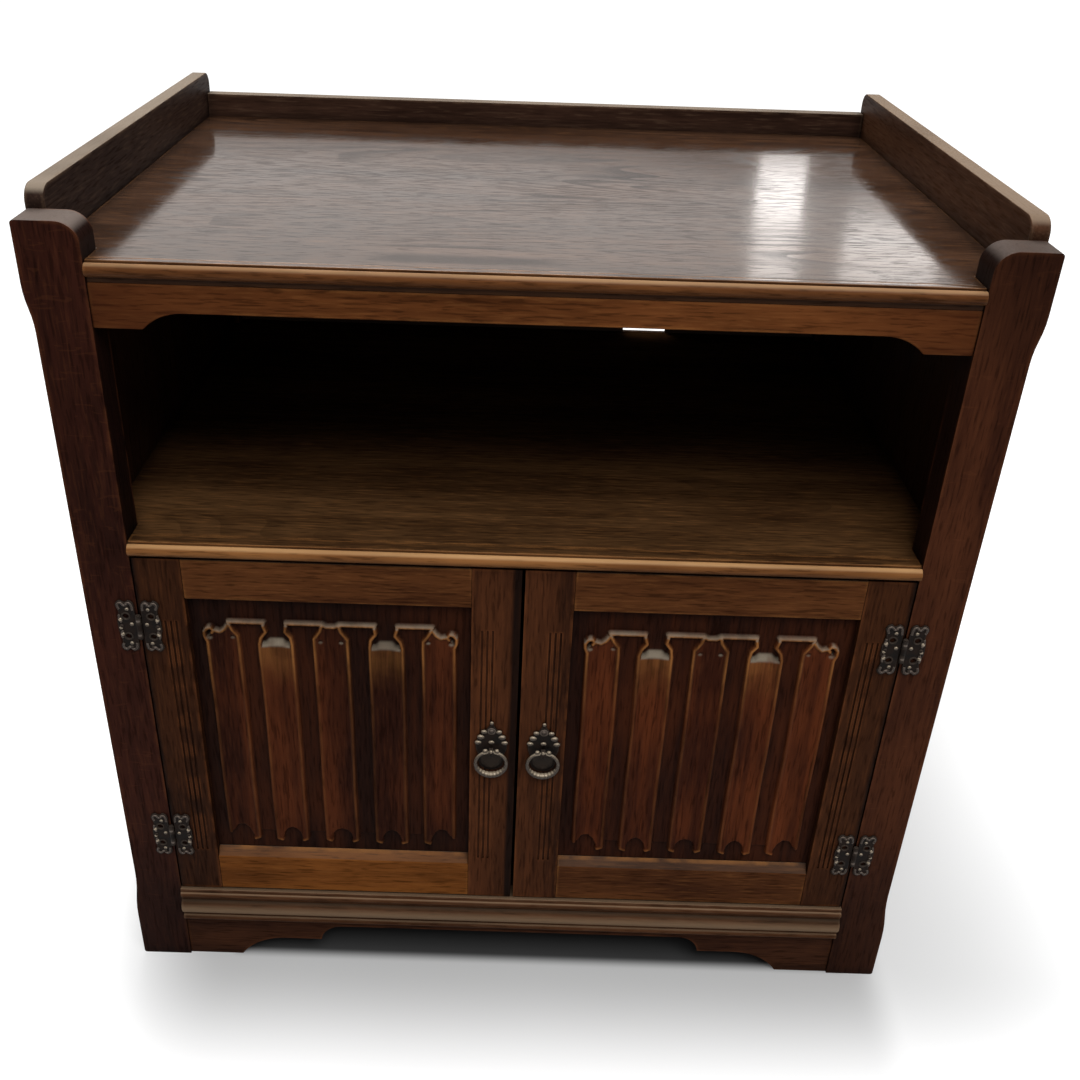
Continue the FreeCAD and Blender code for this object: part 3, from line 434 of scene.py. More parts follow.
back_gallery_oak = oak("back_gallery_oak", "x", srgb(38, 24, 18), srgb(64, 44, 34), WORN_GREY,
                       top_dust_and_light=0.8, relief=0.1, top_dust_and_light_colour=GALLERY_TOP, pore_share=0.25)

FIBRE = (900.0, 3.0, 0.0)
FIBRE_RANGE = (0.45, 0.7)
FIBRE_SHARE = 0.25
FIBRE_BROWN = srgb(70, 52, 39)
SHEET_STAINS = (7.0, 4.0, 0.0)
SHEET_ROUGHNESS = (0.6, 0.8)
REAR_FACES = (0.2, 0.8)


def board_back():
    """Plain brown building board with a fine pressed fibre."""
    shader = Shader("back_sheet")
    sheet_place = shader.stretched(UNSTRETCHED)
    fibre = shader.noise(sheet_place, FIBRE)
    stain = shader.ramp(shader.noise(sheet_place, SHEET_STAINS), *NOISE_SPREAD)
    # The inner face is darker, as painted shade inside the cabinet.
    inside = shader.mix(stain, srgb(54, 40, 34), srgb(86, 68, 58))
    outside = shader.mix(stain, srgb(104, 75, 52), srgb(122, 90, 64))
    colour = shader.mix(shader.ramp(shader.normal("Y"), *REAR_FACES), inside, outside)
    colour = shader.mix(shader.ramp(fibre, *FIBRE_RANGE, 0.0, FIBRE_SHARE), colour, FIBRE_BROWN)
    roughness = shader.ramp(fibre, *NOISE_SPREAD, *SHEET_ROUGHNESS)
    bump = shader.bump(fibre, strength=0.3, distance=0.3 * MM)
    return shader.finish(colour, roughness, bump, Specular_IOR_Level=SOFT_SHEEN)


HAMMER_MARKS = (260.0, 2.0, 0.0)
RUST = (90.0, 4.0, 0.0)
RUST_RANGE = (0.35, 0.7)
RUST_SHARE = 0.5
RUST_BROWN = srgb(46, 34, 28)
RUBBED_EDGE_REACH = 1.2 * MM
HIGHLIT_TOP_FACES = (0.2, 0.9)
IRON_HOLLOW_REACH = 3 * MM
IRON_HOLLOW_DIRT = 0.7
METAL_SMOOTHER, METAL_ROUGHER = 0.08, 0.12


def metal(name, body, bright, polish, brightness, shine, sheen):
    """Hammered metal: dark in its hollows, rubbed bright along its edges, and with a painted highlight on its
    upward faces.
    """
    shader = Shader(name)
    metal_place = shader.stretched(UNSTRETCHED)
    hammer = shader.noise(metal_place, HAMMER_MARKS)
    rust = shader.noise(metal_place, RUST)
    colour = shader.mix(shader.ramp(rust, *RUST_RANGE, 0.0, RUST_SHARE), body, RUST_BROWN)
    colour = shader.mix(shader.scaled(shader.edges(RUBBED_EDGE_REACH), brightness), colour, bright)
    # Painted highlight on upward faces.
    colour = shader.mix(shader.ramp(shader.normal("Z"), *HIGHLIT_TOP_FACES, 0.0, brightness), colour, bright)
    colour = shader.mix(shader.scaled(shader.corners(IRON_HOLLOW_REACH), IRON_HOLLOW_DIRT), colour, BLACK_WAX_AND_SHADE)
    roughness = shader.ramp(rust, *NOISE_SPREAD, polish - METAL_SMOOTHER, polish + METAL_ROUGHER)
    bump = shader.bump(hammer, strength=0.4, distance=0.4 * MM)
    return shader.finish(colour, roughness, bump, Metallic=shine, Specular_IOR_Level=sheen)


PLASTIC_SKIN = (1400.0, 2.0, 0.0)
PLASTIC_PATCHES = (60.0, 2.0, 0.0)
PLASTIC_ROUGHNESS = (0.38, 0.5)


def catch_plastic():
    """Brown moulded plastic with a faint grain."""
    shader = Shader("catch_plastic")
    plastic_place = shader.stretched(UNSTRETCHED)
    skin = shader.noise(plastic_place, PLASTIC_SKIN)
    patches = shader.noise(plastic_place, PLASTIC_PATCHES)
    colour = shader.mix(patches, srgb(54, 36, 26), srgb(70, 48, 34))
    roughness = shader.ramp(skin, *NOISE_SPREAD, *PLASTIC_ROUGHNESS)
    bump = shader.bump(skin, strength=0.2, distance=0.1 * MM)
    return shader.finish(colour, roughness, bump)


back_board = board_back()
blackened_iron = metal("blackened_iron", srgb(18, 14, 12), srgb(78, 68, 60),
                       polish=0.5, brightness=0.4, shine=0.0, sheen=0.05)
worn_iron = metal("worn_iron", srgb(38, 31, 27), srgb(118, 105, 95),
                  polish=0.42, brightness=0.6, shine=0.15, sheen=0.15)
rubbed_iron = metal("rubbed_iron", srgb(50, 41, 34), srgb(172, 156, 134),
                    polish=0.36, brightness=0.85, shine=0.2, sheen=0.25)
steel = metal("steel", srgb(120, 118, 114), srgb(190, 188, 182),
              polish=0.34, brightness=0.5, shine=0.7, sheen=0.5)
plastic = catch_plastic()


# The CAD boards stay, with softened edges and their own material.

EDGE_ROUNDING = 1.1 * MM
ARCHED_ROUNDING = 0.3 * MM
IRON_ROUNDING = 0.35 * MM
ROUNDING_SEGMENTS = 2
ROUNDED_EDGE_ANGLE = math.radians(35)
FLAT_ANGLE = math.radians(0.6)
WELD_REACH = 0.01 * MM
UPPER_REACH = 0.2 * MM


def dress(name, material, rounding, upper_material=None):
    """Gives a CAD node its material, with another on its highest faces, and rounds its sharp edges."""
    board = NODES[name]
    board.data.materials.clear()
    board.data.materials.append(material)
    if upper_material:
        board.data.materials.append(upper_material)
    upper_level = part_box(name)[1].z - UPPER_REACH
    for face in board.data.polygons:
        face.use_smooth = True
        face.material_index = int(bool(upper_material) and face.center.z > upper_level)
    weld = board.modifiers.new("join", "WELD")
    weld.merge_threshold = WELD_REACH
    flat = board.modifiers.new("flat", "DECIMATE")
    flat.decimate_type = "DISSOLVE"
    flat.angle_limit = FLAT_ANGLE
    bevel = board.modifiers.new("round", "BEVEL")
    bevel.width = rounding
    bevel.segments = ROUNDING_SEGMENTS
    bevel.limit_method = "ANGLE"
    bevel.angle_limit = ROUNDED_EDGE_ANGLE
    shading = board.modifiers.new("shading", "WEIGHTED_NORMAL")
    shading.keep_sharp = True


BOARDS = {
    "top_board": top_oak,
    "top_front_moulding": top_bead_oak,
    "top_apron_rail": apron_oak,
    "shelf_board": shelf_oak,
    "shelf_front_moulding": shelf_bead_oak,
    "base_board": dark_oak,
    "plinth_moulding": plinth_oak,
    "base_apron": base_oak,
    "corner_blocks": dark_oak,
    "back_gallery_rail": back_gallery_oak,
    "back_top_rail": dark_oak,
    "back_bottom_rail": dark_oak,
    "upper_back_panel": back_board,
    "lower_back_panel": back_board,
    "left_gallery_rail": left_gallery_oak,
    "right_gallery_rail": right_gallery_oak,
    "left_front_post": left_post_oak,
    "right_front_post": right_post_oak,
    "left_door_bottom_rail": golden_oak,
    "right_door_bottom_rail": rail_oak,
}
for side in SIDES:
    BOARDS[f"{side}_rear_stile"] = side_oak
    BOARDS[f"{side}_side_panel"] = side_oak
    BOARDS[f"{side}_door_hinge_stile"] = hinge_stile_oak[side]
    BOARDS[f"{side}_door_meeting_stile"] = meeting_stile_oak[side]
    BOARDS[f"{side}_door_top_rail"] = rail_oak
FLUSH_STRIPS = {"top_front_moulding": top_oak, "shelf_front_moulding": shelf_oak}
for board_name, board_material in BOARDS.items():
    board_rounding = ARCHED_ROUNDING if board_name == "base_apron" else EDGE_ROUNDING
    dress(board_name, board_material, board_rounding, FLUSH_STRIPS.get(board_name))

IRON_PARTS = ("hinge_pins", "post_hinge_nails", "door_hinge_nails", "pull_backplate", "pull_eye", "pull_nut")
for side in SIDES:
    for level in ("upper", "lower"):
        dress(f"{side}_{level}_hinge_post_leaf", blackened_iron, IRON_ROUNDING)
        dress(f"{side}_{level}_hinge_door_leaf", blackened_iron, IRON_ROUNDING)
    for iron_part in IRON_PARTS:
        dress(f"{side}_{iron_part}", blackened_iron, IRON_ROUNDING)
    dress(f"{side}_strike_plate", steel, IRON_ROUNDING)
    dress(f"{side}_door_catch", plastic, IRON_ROUNDING)


def add_piece(name, data, material, body):
    """Puts a new piece in the scene, on its body and with its finish."""
    data.materials.append(material)
    piece = bpy.data.objects.new(name, data)
    bpy.context.scene.collection.objects.link(piece)
    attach(piece, body)
    return piece


# The carved linenfold panels. Outlines are in millimetres: u from the panel's middle to one side,
# z from the floor. The other half of each panel mirrors them.

CENTRE_RIB = 15.5
INNER_RIB = 36.3
OUTER_RIB = 66.8
EDGE_INNER_RIB = 86.3
EDGE_RIB = 115.5
CAP_TOP = 453.5
SHOULDER = 430.0
FOOT = 177.0
EDGE_FOOT = 186.0
ARCH = 192.0
VALLEY_FOOT = 185.0

VALLEYS = (
    (
        (CENTRE_RIB, VALLEY_FOOT), (CENTRE_RIB, 437.5), (8.0, CAP_TOP), (41.2, CAP_TOP),
        (42.2, 445.0), (37.4, 438.5), (INNER_RIB, SHOULDER), (INNER_RIB, VALLEY_FOOT),
    ),
    (
        (OUTER_RIB, VALLEY_FOOT), (OUTER_RIB, SHOULDER), (65.3, 437.0), (60.2, 444.0),
        (62.2, CAP_TOP), (94.8, CAP_TOP), (90.8, 444.5), (86.4, 438.5), (EDGE_INNER_RIB, SHOULDER),
        (EDGE_INNER_RIB, VALLEY_FOOT),
    ),
)
CENTRE_FOLD = (
    (-20.0, ARCH), (-20.0, 450.0), (8.0, 450.0), (CENTRE_RIB, 437.5), (CENTRE_RIB, FOOT), (10.0, FOOT),
    (8.5, ARCH - 6.0), (5.0, ARCH - 1.5), (0.0, ARCH),
)
FRONT_FOLD = (
    (INNER_RIB, FOOT), (INNER_RIB, 441.0), (OUTER_RIB, 441.0), (OUTER_RIB, FOOT), (60.8, FOOT),
    (58.8, ARCH - 6.0), (55.5, ARCH - 1.0), (51.5, ARCH + 1.0), (47.5, ARCH - 1.0), (44.2, ARCH - 6.0),
    (42.2, FOOT),
)
EDGE_FOLD = (
    (EDGE_INNER_RIB, FOOT), (EDGE_INNER_RIB, 438.5), (94.8, 451.0), (98.5, 445.5), (103.0, 442.0),
    (108.0, 443.5), (EDGE_RIB, 438.0), (EDGE_RIB, EDGE_FOOT), (111.0, EDGE_FOOT), (107.0, ARCH + 2.0),
    (101.5, ARCH + 3.0), (97.0, ARCH - 2.0), (94.0, FOOT + 6.0), (92.5, FOOT),
)
HIGH_RIBS = (
    ((41.2, 451.0), (42.2, 445.0), (37.4, 438.5), (INNER_RIB, SHOULDER), (INNER_RIB, FOOT + 2.0),
     (40.4, FOOT)),
    ((62.2, 451.0), (60.2, 444.0), (65.3, 437.0), (OUTER_RIB, SHOULDER), (OUTER_RIB, FOOT + 2.0),
     (62.6, FOOT)),
)
LOW_RIBS = (
    ((8.0, CAP_TOP - 1.0), (9.6, 446.5), (CENTRE_RIB, 437.5), (CENTRE_RIB, FOOT + 2.0), (11.6, FOOT)),
    ((94.4, 451.5), (90.8, 444.5), (86.6, 438.5), (EDGE_INNER_RIB, SHOULDER), (EDGE_INNER_RIB, FOOT + 2.0),
     (90.8, FOOT)),
    ((EDGE_RIB, EDGE_FOOT), (EDGE_RIB, 431.0), (117.6, 437.0), (117.8, 442.0), (115.2, 446.4), (111.4, 447.0),
     (108.8, 444.0), (110.6, 441.2)),
)
LIPS = (
    ((0.0, 451.0), (4.0, 451.0), (8.0, CAP_TOP), (41.2, CAP_TOP)),
    ((62.2, CAP_TOP), (94.8, CAP_TOP)),
    ((94.8, 451.0), (98.5, 445.5), (103.0, 442.0), (108.0, 443.5)),
    ((116.4, 444.0), (113.0, 447.0)),
)
NOTCHES = ((9.6, 434.0, 2.4), (91.4, 437.0, 2.4), (113.0, 436.5, 3.2))

# Levels and depths in millimetres off the panel's ground, and how the carving's forms fade out.
# Reaches named in radii count from the middle of a rib, lip or notch.
FRONT_LEVEL = 5.2
MIDDLE_LEVEL = 4.4
VALLEY_LEVEL = 1.0
HOLLOW = 1.1
FIELD_EDGE = 1.6
WAVER, WAVER_LENGTH = 0.35, 31.0
SCOOP_TOP = 436.5
SCOOP_DROP = 11.0
SCOOP_CROWN = 4.5
CROWN_SHARE = 0.35
SCOOP_LEDGE_FADE = 1 / 3
WORN_FIELD = 0.3
WORN_FIELD_FROM = 375.0
WORN_SCOOP_FROM = 0.75
RIB_CREST = 5.8
LOW_RIB_CREST = 5.2
LIP_CREST = 4.6
RIB_RADIUS = 1.9
LIP_RADIUS = 2.2
SKIRT_RADII, SKIRT_FADE_RADII = 1.25, 0.3
RUBBED_RADII = 1.1
# Dust and painted top light on the lips and notches, kept where they face upwards.
LIP_DUST_AND_LIGHT = 0.75
LIP_DUST_AND_LIGHT_RADII, LIP_DUST_AND_LIGHT_FADE_RADII = 1.3, 0.5
NOTCH_DEPTH = 1.5
NOTCH_RADII = 1.2
NOTCH_DUST_AND_LIGHT = 0.8
NOTCH_DUST_AND_LIGHT_FADE_RADII = 2 / 3
RUBBED_BELOW = 0.14
RUBBED_TOES = 0.4
RUBBED_FROM, RUBBED_TO = 360.0, 445.0
TOE_REACH = 6.0
LEDGE_SLOPE = 0.3
FOLDS = (
    (CENTRE_FOLD, MIDDLE_LEVEL, -CENTRE_RIB, CENTRE_RIB),
    (FRONT_FOLD, FRONT_LEVEL, INNER_RIB, OUTER_RIB),
    (EDGE_FOLD, MIDDLE_LEVEL, EDGE_INNER_RIB, EDGE_RIB),
)
RAISED_LINES = (
    (HIGH_RIBS, RIB_CREST, RIB_RADIUS),
    (LOW_RIBS, LOW_RIB_CREST, RIB_RADIUS),
    (LIPS, LIP_CREST, LIP_RADIUS),
)


def eased(share):
    """0 below 0, 1 above 1, and an even curve between."""
    share = np.clip(share, 0.0, 1.0)
    return share * share * (3.0 - 2.0 * share)


def path_distance(path, u, z, closed=False):
    """How far each point is from a line of straight runs."""
    ends = path[1:] + (path[:1] if closed else ())
    nearest = np.full(u.shape, np.inf)
    for (u0, z0), (u1, z1) in zip(path, ends):
        run_u, run_z = u1 - u0, z1 - z0
        along = np.clip(((u - u0) * run_u + (z - z0) * run_z) / (run_u ** 2 + run_z ** 2), 0.0, 1.0)
        nearest = np.minimum(nearest, np.hypot(u - u0 - along * run_u, z - z0 - along * run_z))
    return nearest


def depth_inside(outline, u, z):
    """How far each point lies inside an outline, and 0 outside it."""
    inside = np.zeros(u.shape, bool)
    for (u0, z0), (u1, z1) in zip(outline, outline[1:] + outline[:1]):
        if z0 != z1:
            crosses = ((z0 > z) != (z1 > z)) & (u < (u1 - u0) * (z - z0) / (z1 - z0) + u0)
            inside ^= crosses
    return np.where(inside, path_distance(outline, u, z, closed=True), 0.0)


def fold_relief(across, z):
    """How far the carving stands off its ground in millimetres, where it is rubbed, and where it is dusty and
    takes painted top light.
    """
    u = np.abs(across + WAVER * np.sin(z / WAVER_LENGTH))
    relief, rubbed, ledge, worn_field = np.zeros((4, *u.shape))
    for outline in VALLEYS:
        relief = np.maximum(relief, VALLEY_LEVEL * eased(depth_inside(outline, u, z) / FIELD_EDGE))
    for outline, level, low, high in FOLDS:
        share = np.clip((u - low) / (high - low), 0.0, 1.0)
        height = level - HOLLOW * 4.0 * share * (1.0 - share)
        inside = eased(depth_inside(outline, u, z) / FIELD_EDGE)
        if outline is FRONT_FOLD:
            crown = SCOOP_CROWN * eased((np.abs(2.0 * share - 1.0) - CROWN_SHARE) / CROWN_SHARE)
            scoop = (SCOOP_TOP - crown - z) / (SCOOP_DROP - crown)
            height = height * eased(scoop)
            ledge = inside * eased(scoop / SCOOP_LEDGE_FADE) * eased((1.0 - scoop) / SCOOP_LEDGE_FADE)
            worn_field = inside * eased((z - WORN_FIELD_FROM) / (SCOOP_TOP - SCOOP_DROP - WORN_FIELD_FROM))
            worn_field = worn_field * eased((scoop - WORN_SCOOP_FROM) / (1.0 - WORN_SCOOP_FROM))
        relief = np.maximum(relief, height * inside)
    for paths, crest, radius in RAISED_LINES:
        for path in paths:
            off = path_distance(path, u, z) / radius
            bead = crest - radius * (1.0 - np.sqrt(np.clip(1.0 - off ** 2, 0.0, 1.0)))
            relief = np.maximum(relief, bead * eased((SKIRT_RADII - off) / SKIRT_FADE_RADII))
            rubbed = np.maximum(rubbed, eased(RUBBED_RADII - off))
            if paths is LIPS:
                dust_and_light = eased((LIP_DUST_AND_LIGHT_RADII - off) / LIP_DUST_AND_LIGHT_FADE_RADII)
                ledge = np.maximum(ledge, LIP_DUST_AND_LIGHT * dust_and_light)
    for notch_u, notch_z, radius in NOTCHES:
        off = np.hypot(u - notch_u, z - notch_z) / radius
        relief = np.maximum(relief - NOTCH_DEPTH * eased(NOTCH_RADII - off), 0.0)
        dust_and_light = eased((NOTCH_RADII - off) / NOTCH_DUST_AND_LIGHT_FADE_RADII)
        ledge = np.maximum(ledge, NOTCH_DUST_AND_LIGHT * dust_and_light)
    upward = eased((z - RUBBED_FROM) / (RUBBED_TO - RUBBED_FROM))
    toes = eased((FOOT + TOE_REACH - z) / TOE_REACH)
    rubbed = rubbed * (RUBBED_BELOW + (1.0 - RUBBED_BELOW) * upward + RUBBED_TOES * toes)
    return relief, np.maximum(rubbed, WORN_FIELD * worn_field), ledge


COLUMN_STEP = 0.85
CARVED_ROW_STEP = 0.85
PLAIN_ROW_STEP = 9.0
CARVED_TOP_FROM, CARVED_TOP_TO = 424.0, 459.0
CARVED_FOOT_FROM, CARVED_FOOT_TO = 172.0, 198.0
PANEL_GROUND = -263.25


def steps(start, end, step):
    """Even places from start to end, about one step apart."""
    return np.linspace(start, end, max(2, int(round((end - start) / step)) + 1))


def linenfold_panel(side):
    """A closed panel whose front is the carving, with its tongue in the frame's grooves."""
    node = f"{side}_linenfold_panel"
    low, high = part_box(node)
    middle = (low.x + high.x) / 2 / MM
    across = steps(low.x / MM, high.x / MM, COLUMN_STEP)
    levels = [low.z / MM, CARVED_FOOT_FROM, CARVED_FOOT_TO, CARVED_TOP_FROM, CARVED_TOP_TO, high.z / MM]
    row_steps = (PLAIN_ROW_STEP, CARVED_ROW_STEP, PLAIN_ROW_STEP, CARVED_ROW_STEP, PLAIN_ROW_STEP)
    runs = [steps(start, end, step) for start, end, step in zip(levels, levels[1:], row_steps)]
    upward = np.unique(np.concatenate(runs))
    grid_x, grid_z = np.meshgrid(across, upward)
    relief, rubbed, ledge = fold_relief(grid_x - middle, grid_z)
    # Ledges keep their dust and painted top light only where they face upwards.
    ledge = ledge * eased(-np.gradient(relief, upward, axis=0) / LEDGE_SLOPE)
    front = np.stack([grid_x, PANEL_GROUND - relief, grid_z], axis=-1).reshape(-1, 3) * MM
    rows, columns = grid_x.shape
    faces = []
    for row in range(rows - 1):
        for column in range(columns - 1):
            first = row * columns + column
            faces.append((first, first + 1, first + columns + 1, first + columns))
    back_corners = [(x, high.y, z) for z in (low.z, high.z) for x in (low.x, high.x)]
    corner = len(front)
    bottom = list(range(columns))
    top = [(rows - 1) * columns + column for column in range(columns)]
    left = [row * columns for row in range(rows)]
    right = [row * columns + columns - 1 for row in range(rows)]
    faces.append(bottom[::-1] + [corner, corner + 1])
    faces.append(top + [corner + 3, corner + 2])
    faces.append(left + [corner + 2, corner])
    faces.append(right[::-1] + [corner + 1, corner + 3])
    faces.append((corner, corner + 2, corner + 3, corner + 1))
    mesh = bpy.data.meshes.new(f"{side}_linenfold_carving")
    mesh.from_pydata([*map(tuple, front), *back_corners], [], faces)
    for face in mesh.polygons[: (rows - 1) * (columns - 1)]:
        face.use_smooth = True
    for name, values in (("relief", relief / RIB_CREST), ("rubbed", rubbed), ("ledge", ledge)):
        shares = np.concatenate([values.ravel(), np.zeros(len(back_corners))]).astype(np.float32)
        mesh.attributes.new(name, "FLOAT", "POINT").data.foreach_set("value", shares)
    carving = add_piece(mesh.name, mesh, carved_oak[side], f"{side}_door")
    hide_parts(node)


for side in SIDES:
    linenfold_panel(side)


# Iron scrolls and beads on the hinges and pulls. Places are in millimetres.

ROD_ROUNDNESS = 3
ROD_CURVE_STEPS = 5
ROD_CURVE_ORDER = 3
BEAD_FLATNESS = 0.8
BEAD_SEGMENTS, BEAD_RINGS = 14, 9
TURNED_STEPS = 32


def scrolls(name, body, paths, thickness, material=worn_iron):
    """Smooth iron rods through lines of points."""
    data = bpy.data.curves.new(name, "CURVE")
    data.dimensions = "3D"
    data.bevel_depth = thickness * MM
    data.bevel_resolution = ROD_ROUNDNESS
    data.resolution_u = ROD_CURVE_STEPS
    data.use_fill_caps = True
    for path in paths:
        spline = data.splines.new("NURBS")
        spline.points.add(len(path) - 1)
        for point, place in zip(spline.points, path):
            point.co = (*(value * MM for value in place), 1.0)
        spline.order_u = ROD_CURVE_ORDER
        spline.use_endpoint_u = True
    return add_piece(name, data, material, body)


def smooth_piece(name, shape, material, body):
    """Turns a finished mesh build into a smooth iron piece."""
    data = bpy.data.meshes.new(name)
    bmesh.ops.recalc_face_normals(shape, faces=shape.faces)
    shape.to_mesh(data)
    shape.free()
    for face in data.polygons:
        face.use_smooth = True
    return add_piece(name, data, material, body)


def beads(name, body, places, material, tall=1.0, wide=1.0):
    """Small domed iron beads at (x, y, z, radius), a little flattened front to back."""
    shape = bmesh.new()
    squeeze = Matrix.Diagonal((wide, BEAD_FLATNESS, tall, 1.0))
    for x, y, z, radius in places:
        bmesh.ops.create_uvsphere(shape, u_segments=BEAD_SEGMENTS, v_segments=BEAD_RINGS, radius=radius * MM,
                                  matrix=Matrix.Translation(Vector((x, y, z)) * MM) @ squeeze)
    return smooth_piece(name, shape, material, body)


def turned(shape, x, y, z, profile):
    """Adds a lathe-turned boss that faces the front, from (radius, height) points."""
    rows = []
    for radius, height in profile:
        row = []
        for step in range(TURNED_STEPS):
            turn = 2 * math.pi * step / TURNED_STEPS
            spot = Vector((x + radius * math.sin(turn), y - height, z + radius * math.cos(turn)))
            row.append(shape.verts.new(spot * MM))
        rows.append(row)
    for inner, outer in zip(rows, rows[1:]):
        for step in range(TURNED_STEPS):
            beside = (step + 1) % TURNED_STEPS
            shape.faces.new((inner[step], inner[beside], outer[beside], outer[step]))
    shape.faces.new(rows[0])
    shape.faces.new(rows[-1])


FRONT = DOOR_FRONT / MM
LEAF_FACE = FRONT - 1.6
HINGE_X = 352.75
HINGE_AXIS_Y = -273.85
HINGE_HEIGHTS = {"upper": 450.0, "lower": 184.0}
SCROLL_THICKNESS = 1.15
SCROLL_LIFT = 0.1
LEAF_ARCHES = (
    ((4.6, 18.5), (4.6, 24.0), (8.0, 27.4), (11.5, 22.4), (15.2, 27.4), (18.8, 23.5), (16.8, 19.5)),
    ((4.8, -19.0), (4.8, -24.5), (8.4, -27.0), (11.5, -22.2), (14.6, -27.0), (18.8, -23.8), (17.0, -19.5)),
    ((17.4, 13.0), (18.6, 8.0), (16.2, 4.6)),
    ((17.2, -13.2), (18.4, -8.4), (16.0, -5.0)),
)
LEAF_BEADS = (
    (17.0, 7.6, 2.0), (17.4, -2.0, 1.7), (16.6, -9.0, 2.1),
    (9.6, 19.2, 1.8), (9.6, -19.2, 1.8), (7.0, 2.4, 1.9),
)
COLLAR_OFF, COLLAR_UP = 11.55, 11.4
COLLAR_RADIUS = 3.8
COLLAR_THICKNESS = 0.85
COLLAR_POINTS = 10
KNUCKLE_BEADS = (-8.0, 8.0)
KNUCKLE_RADIUS = 2.2
KNUCKLE_OFF = 1.0
KNUCKLE_TALL = 1.5


def hinge_trim(side, level, part, body, way):
    """Scrolled ends, collars and beads of one hinge leaf, and on the post the cast lumps of its knuckles."""
    name = f"{side}_{level}_hinge_{part}"
    axis = SIDES[side] * HINGE_X
    height = HINGE_HEIGHTS[level]
    scroll_face = LEAF_FACE - SCROLL_LIFT
    paths = [[(axis + way * off, scroll_face, height + up) for off, up in path] for path in LEAF_ARCHES]
    scrolls(name + "_scrolls", body, paths, SCROLL_THICKNESS)
    collars = []
    for rise in (-COLLAR_UP, COLLAR_UP):
        turns = [2 * math.pi * point / COLLAR_POINTS for point in range(COLLAR_POINTS + 1)]
        collars.append([(axis + way * (COLLAR_OFF + COLLAR_RADIUS * math.sin(turn)), LEAF_FACE,
                         height + rise + COLLAR_RADIUS * math.cos(turn)) for turn in turns])
    scrolls(name + "_collars", body, collars, COLLAR_THICKNESS, blackened_iron)
    places = [(axis + way * off, LEAF_FACE, height + up, radius) for off, up, radius in LEAF_BEADS]
    beads(name + "_beads", body, places, rubbed_iron)
    if part == "post":
        lumps = [(axis, HINGE_AXIS_Y - KNUCKLE_OFF, height + up, KNUCKLE_RADIUS) for up in KNUCKLE_BEADS]
        beads(name + "_knuckles", body, lumps, worn_iron, KNUCKLE_TALL)


for side, sign in SIDES.items():
    for level in HINGE_HEIGHTS:
        hinge_trim(side, level, "post", "carcass", sign)
        hinge_trim(side, level, "door", f"{side}_door", -sign)

PULL_X = 25.5
PULL_HEIGHT = 314.0
PLATE_FACE = FRONT - 1.5
FINIAL_RISE, FINIAL_RADIUS = 33.0, 1.9
EYE_BEAD_OFF, EYE_BEAD_RISE, EYE_BEAD_RADIUS = 3.0, 3.4, 1.6
MIDDLE_LOBE_RISE, MIDDLE_LOBE_RADIUS = 9.0, 2.2
PULL_LOBES = ((13.0, 8.4, 2.5), (10.4, 15.4, 2.7), (7.4, 22.0, 2.2))
LOBE_WIDE, LOBE_TALL = 1.35, 0.95
DOME_HEIGHT = 23.0
DOME_PROFILE = (
    (0.6, 2.3), (1.5, 2.0), (2.3, 1.2), (2.7, 0.2), (3.1, 0.3), (3.5, 0.8), (4.0, 0.5), (4.2, -0.3),
)
DISH_DROP = 14.0
DISH_PROFILE = ((1.2, 0.7), (6.0, 0.6), (9.5, 0.9), (11.6, 1.6), (12.6, 1.3), (13.0, -0.2))
RING_Y = FRONT - 6.0
RING_RISE = 2.0
RING_OUTER = 17.0
RING_THIN, RING_THICK = 1.5, 3.0
RING_STEPS, TUBE_STEPS = 96, 16
RING_BEADING = 0.06
RING_BEADS = 22
KNOP_OFF = 5.6
KNOP_RISE = 1.2
KNOP_RADIUS = 2.6


def pull_trim(side, sign):
    """Finial, beaded edge, nail head and ring rest of a pull's backplate."""
    x = sign * PULL_X
    finial = (x, PLATE_FACE, PULL_HEIGHT + FINIAL_RISE, FINIAL_RADIUS)
    eye_bead = (x, RING_Y - EYE_BEAD_OFF, PULL_HEIGHT + EYE_BEAD_RISE, EYE_BEAD_RADIUS)
    beads(f"{side}_pull_beads", f"{side}_door", [finial, eye_bead], rubbed_iron)
    lobes = [(x, PLATE_FACE, PULL_HEIGHT + MIDDLE_LOBE_RISE, MIDDLE_LOBE_RADIUS)]
    for off, up, radius in PULL_LOBES:
        lobes += [(x + way * off, PLATE_FACE, PULL_HEIGHT + up, radius) for way in (-1, 1)]
    beads(f"{side}_pull_lobes", f"{side}_door", lobes, rubbed_iron, LOBE_TALL, LOBE_WIDE)
    boss = bmesh.new()
    turned(boss, x, PLATE_FACE, PULL_HEIGHT + DOME_HEIGHT, DOME_PROFILE)
    smooth_piece(f"{side}_pull_nail_head", boss, worn_iron, f"{side}_door")
    dish = bmesh.new()
    turned(dish, x, FRONT, PULL_HEIGHT - DISH_DROP, DISH_PROFILE)
    smooth_piece(f"{side}_pull_dish", dish, blackened_iron, f"{side}_door")


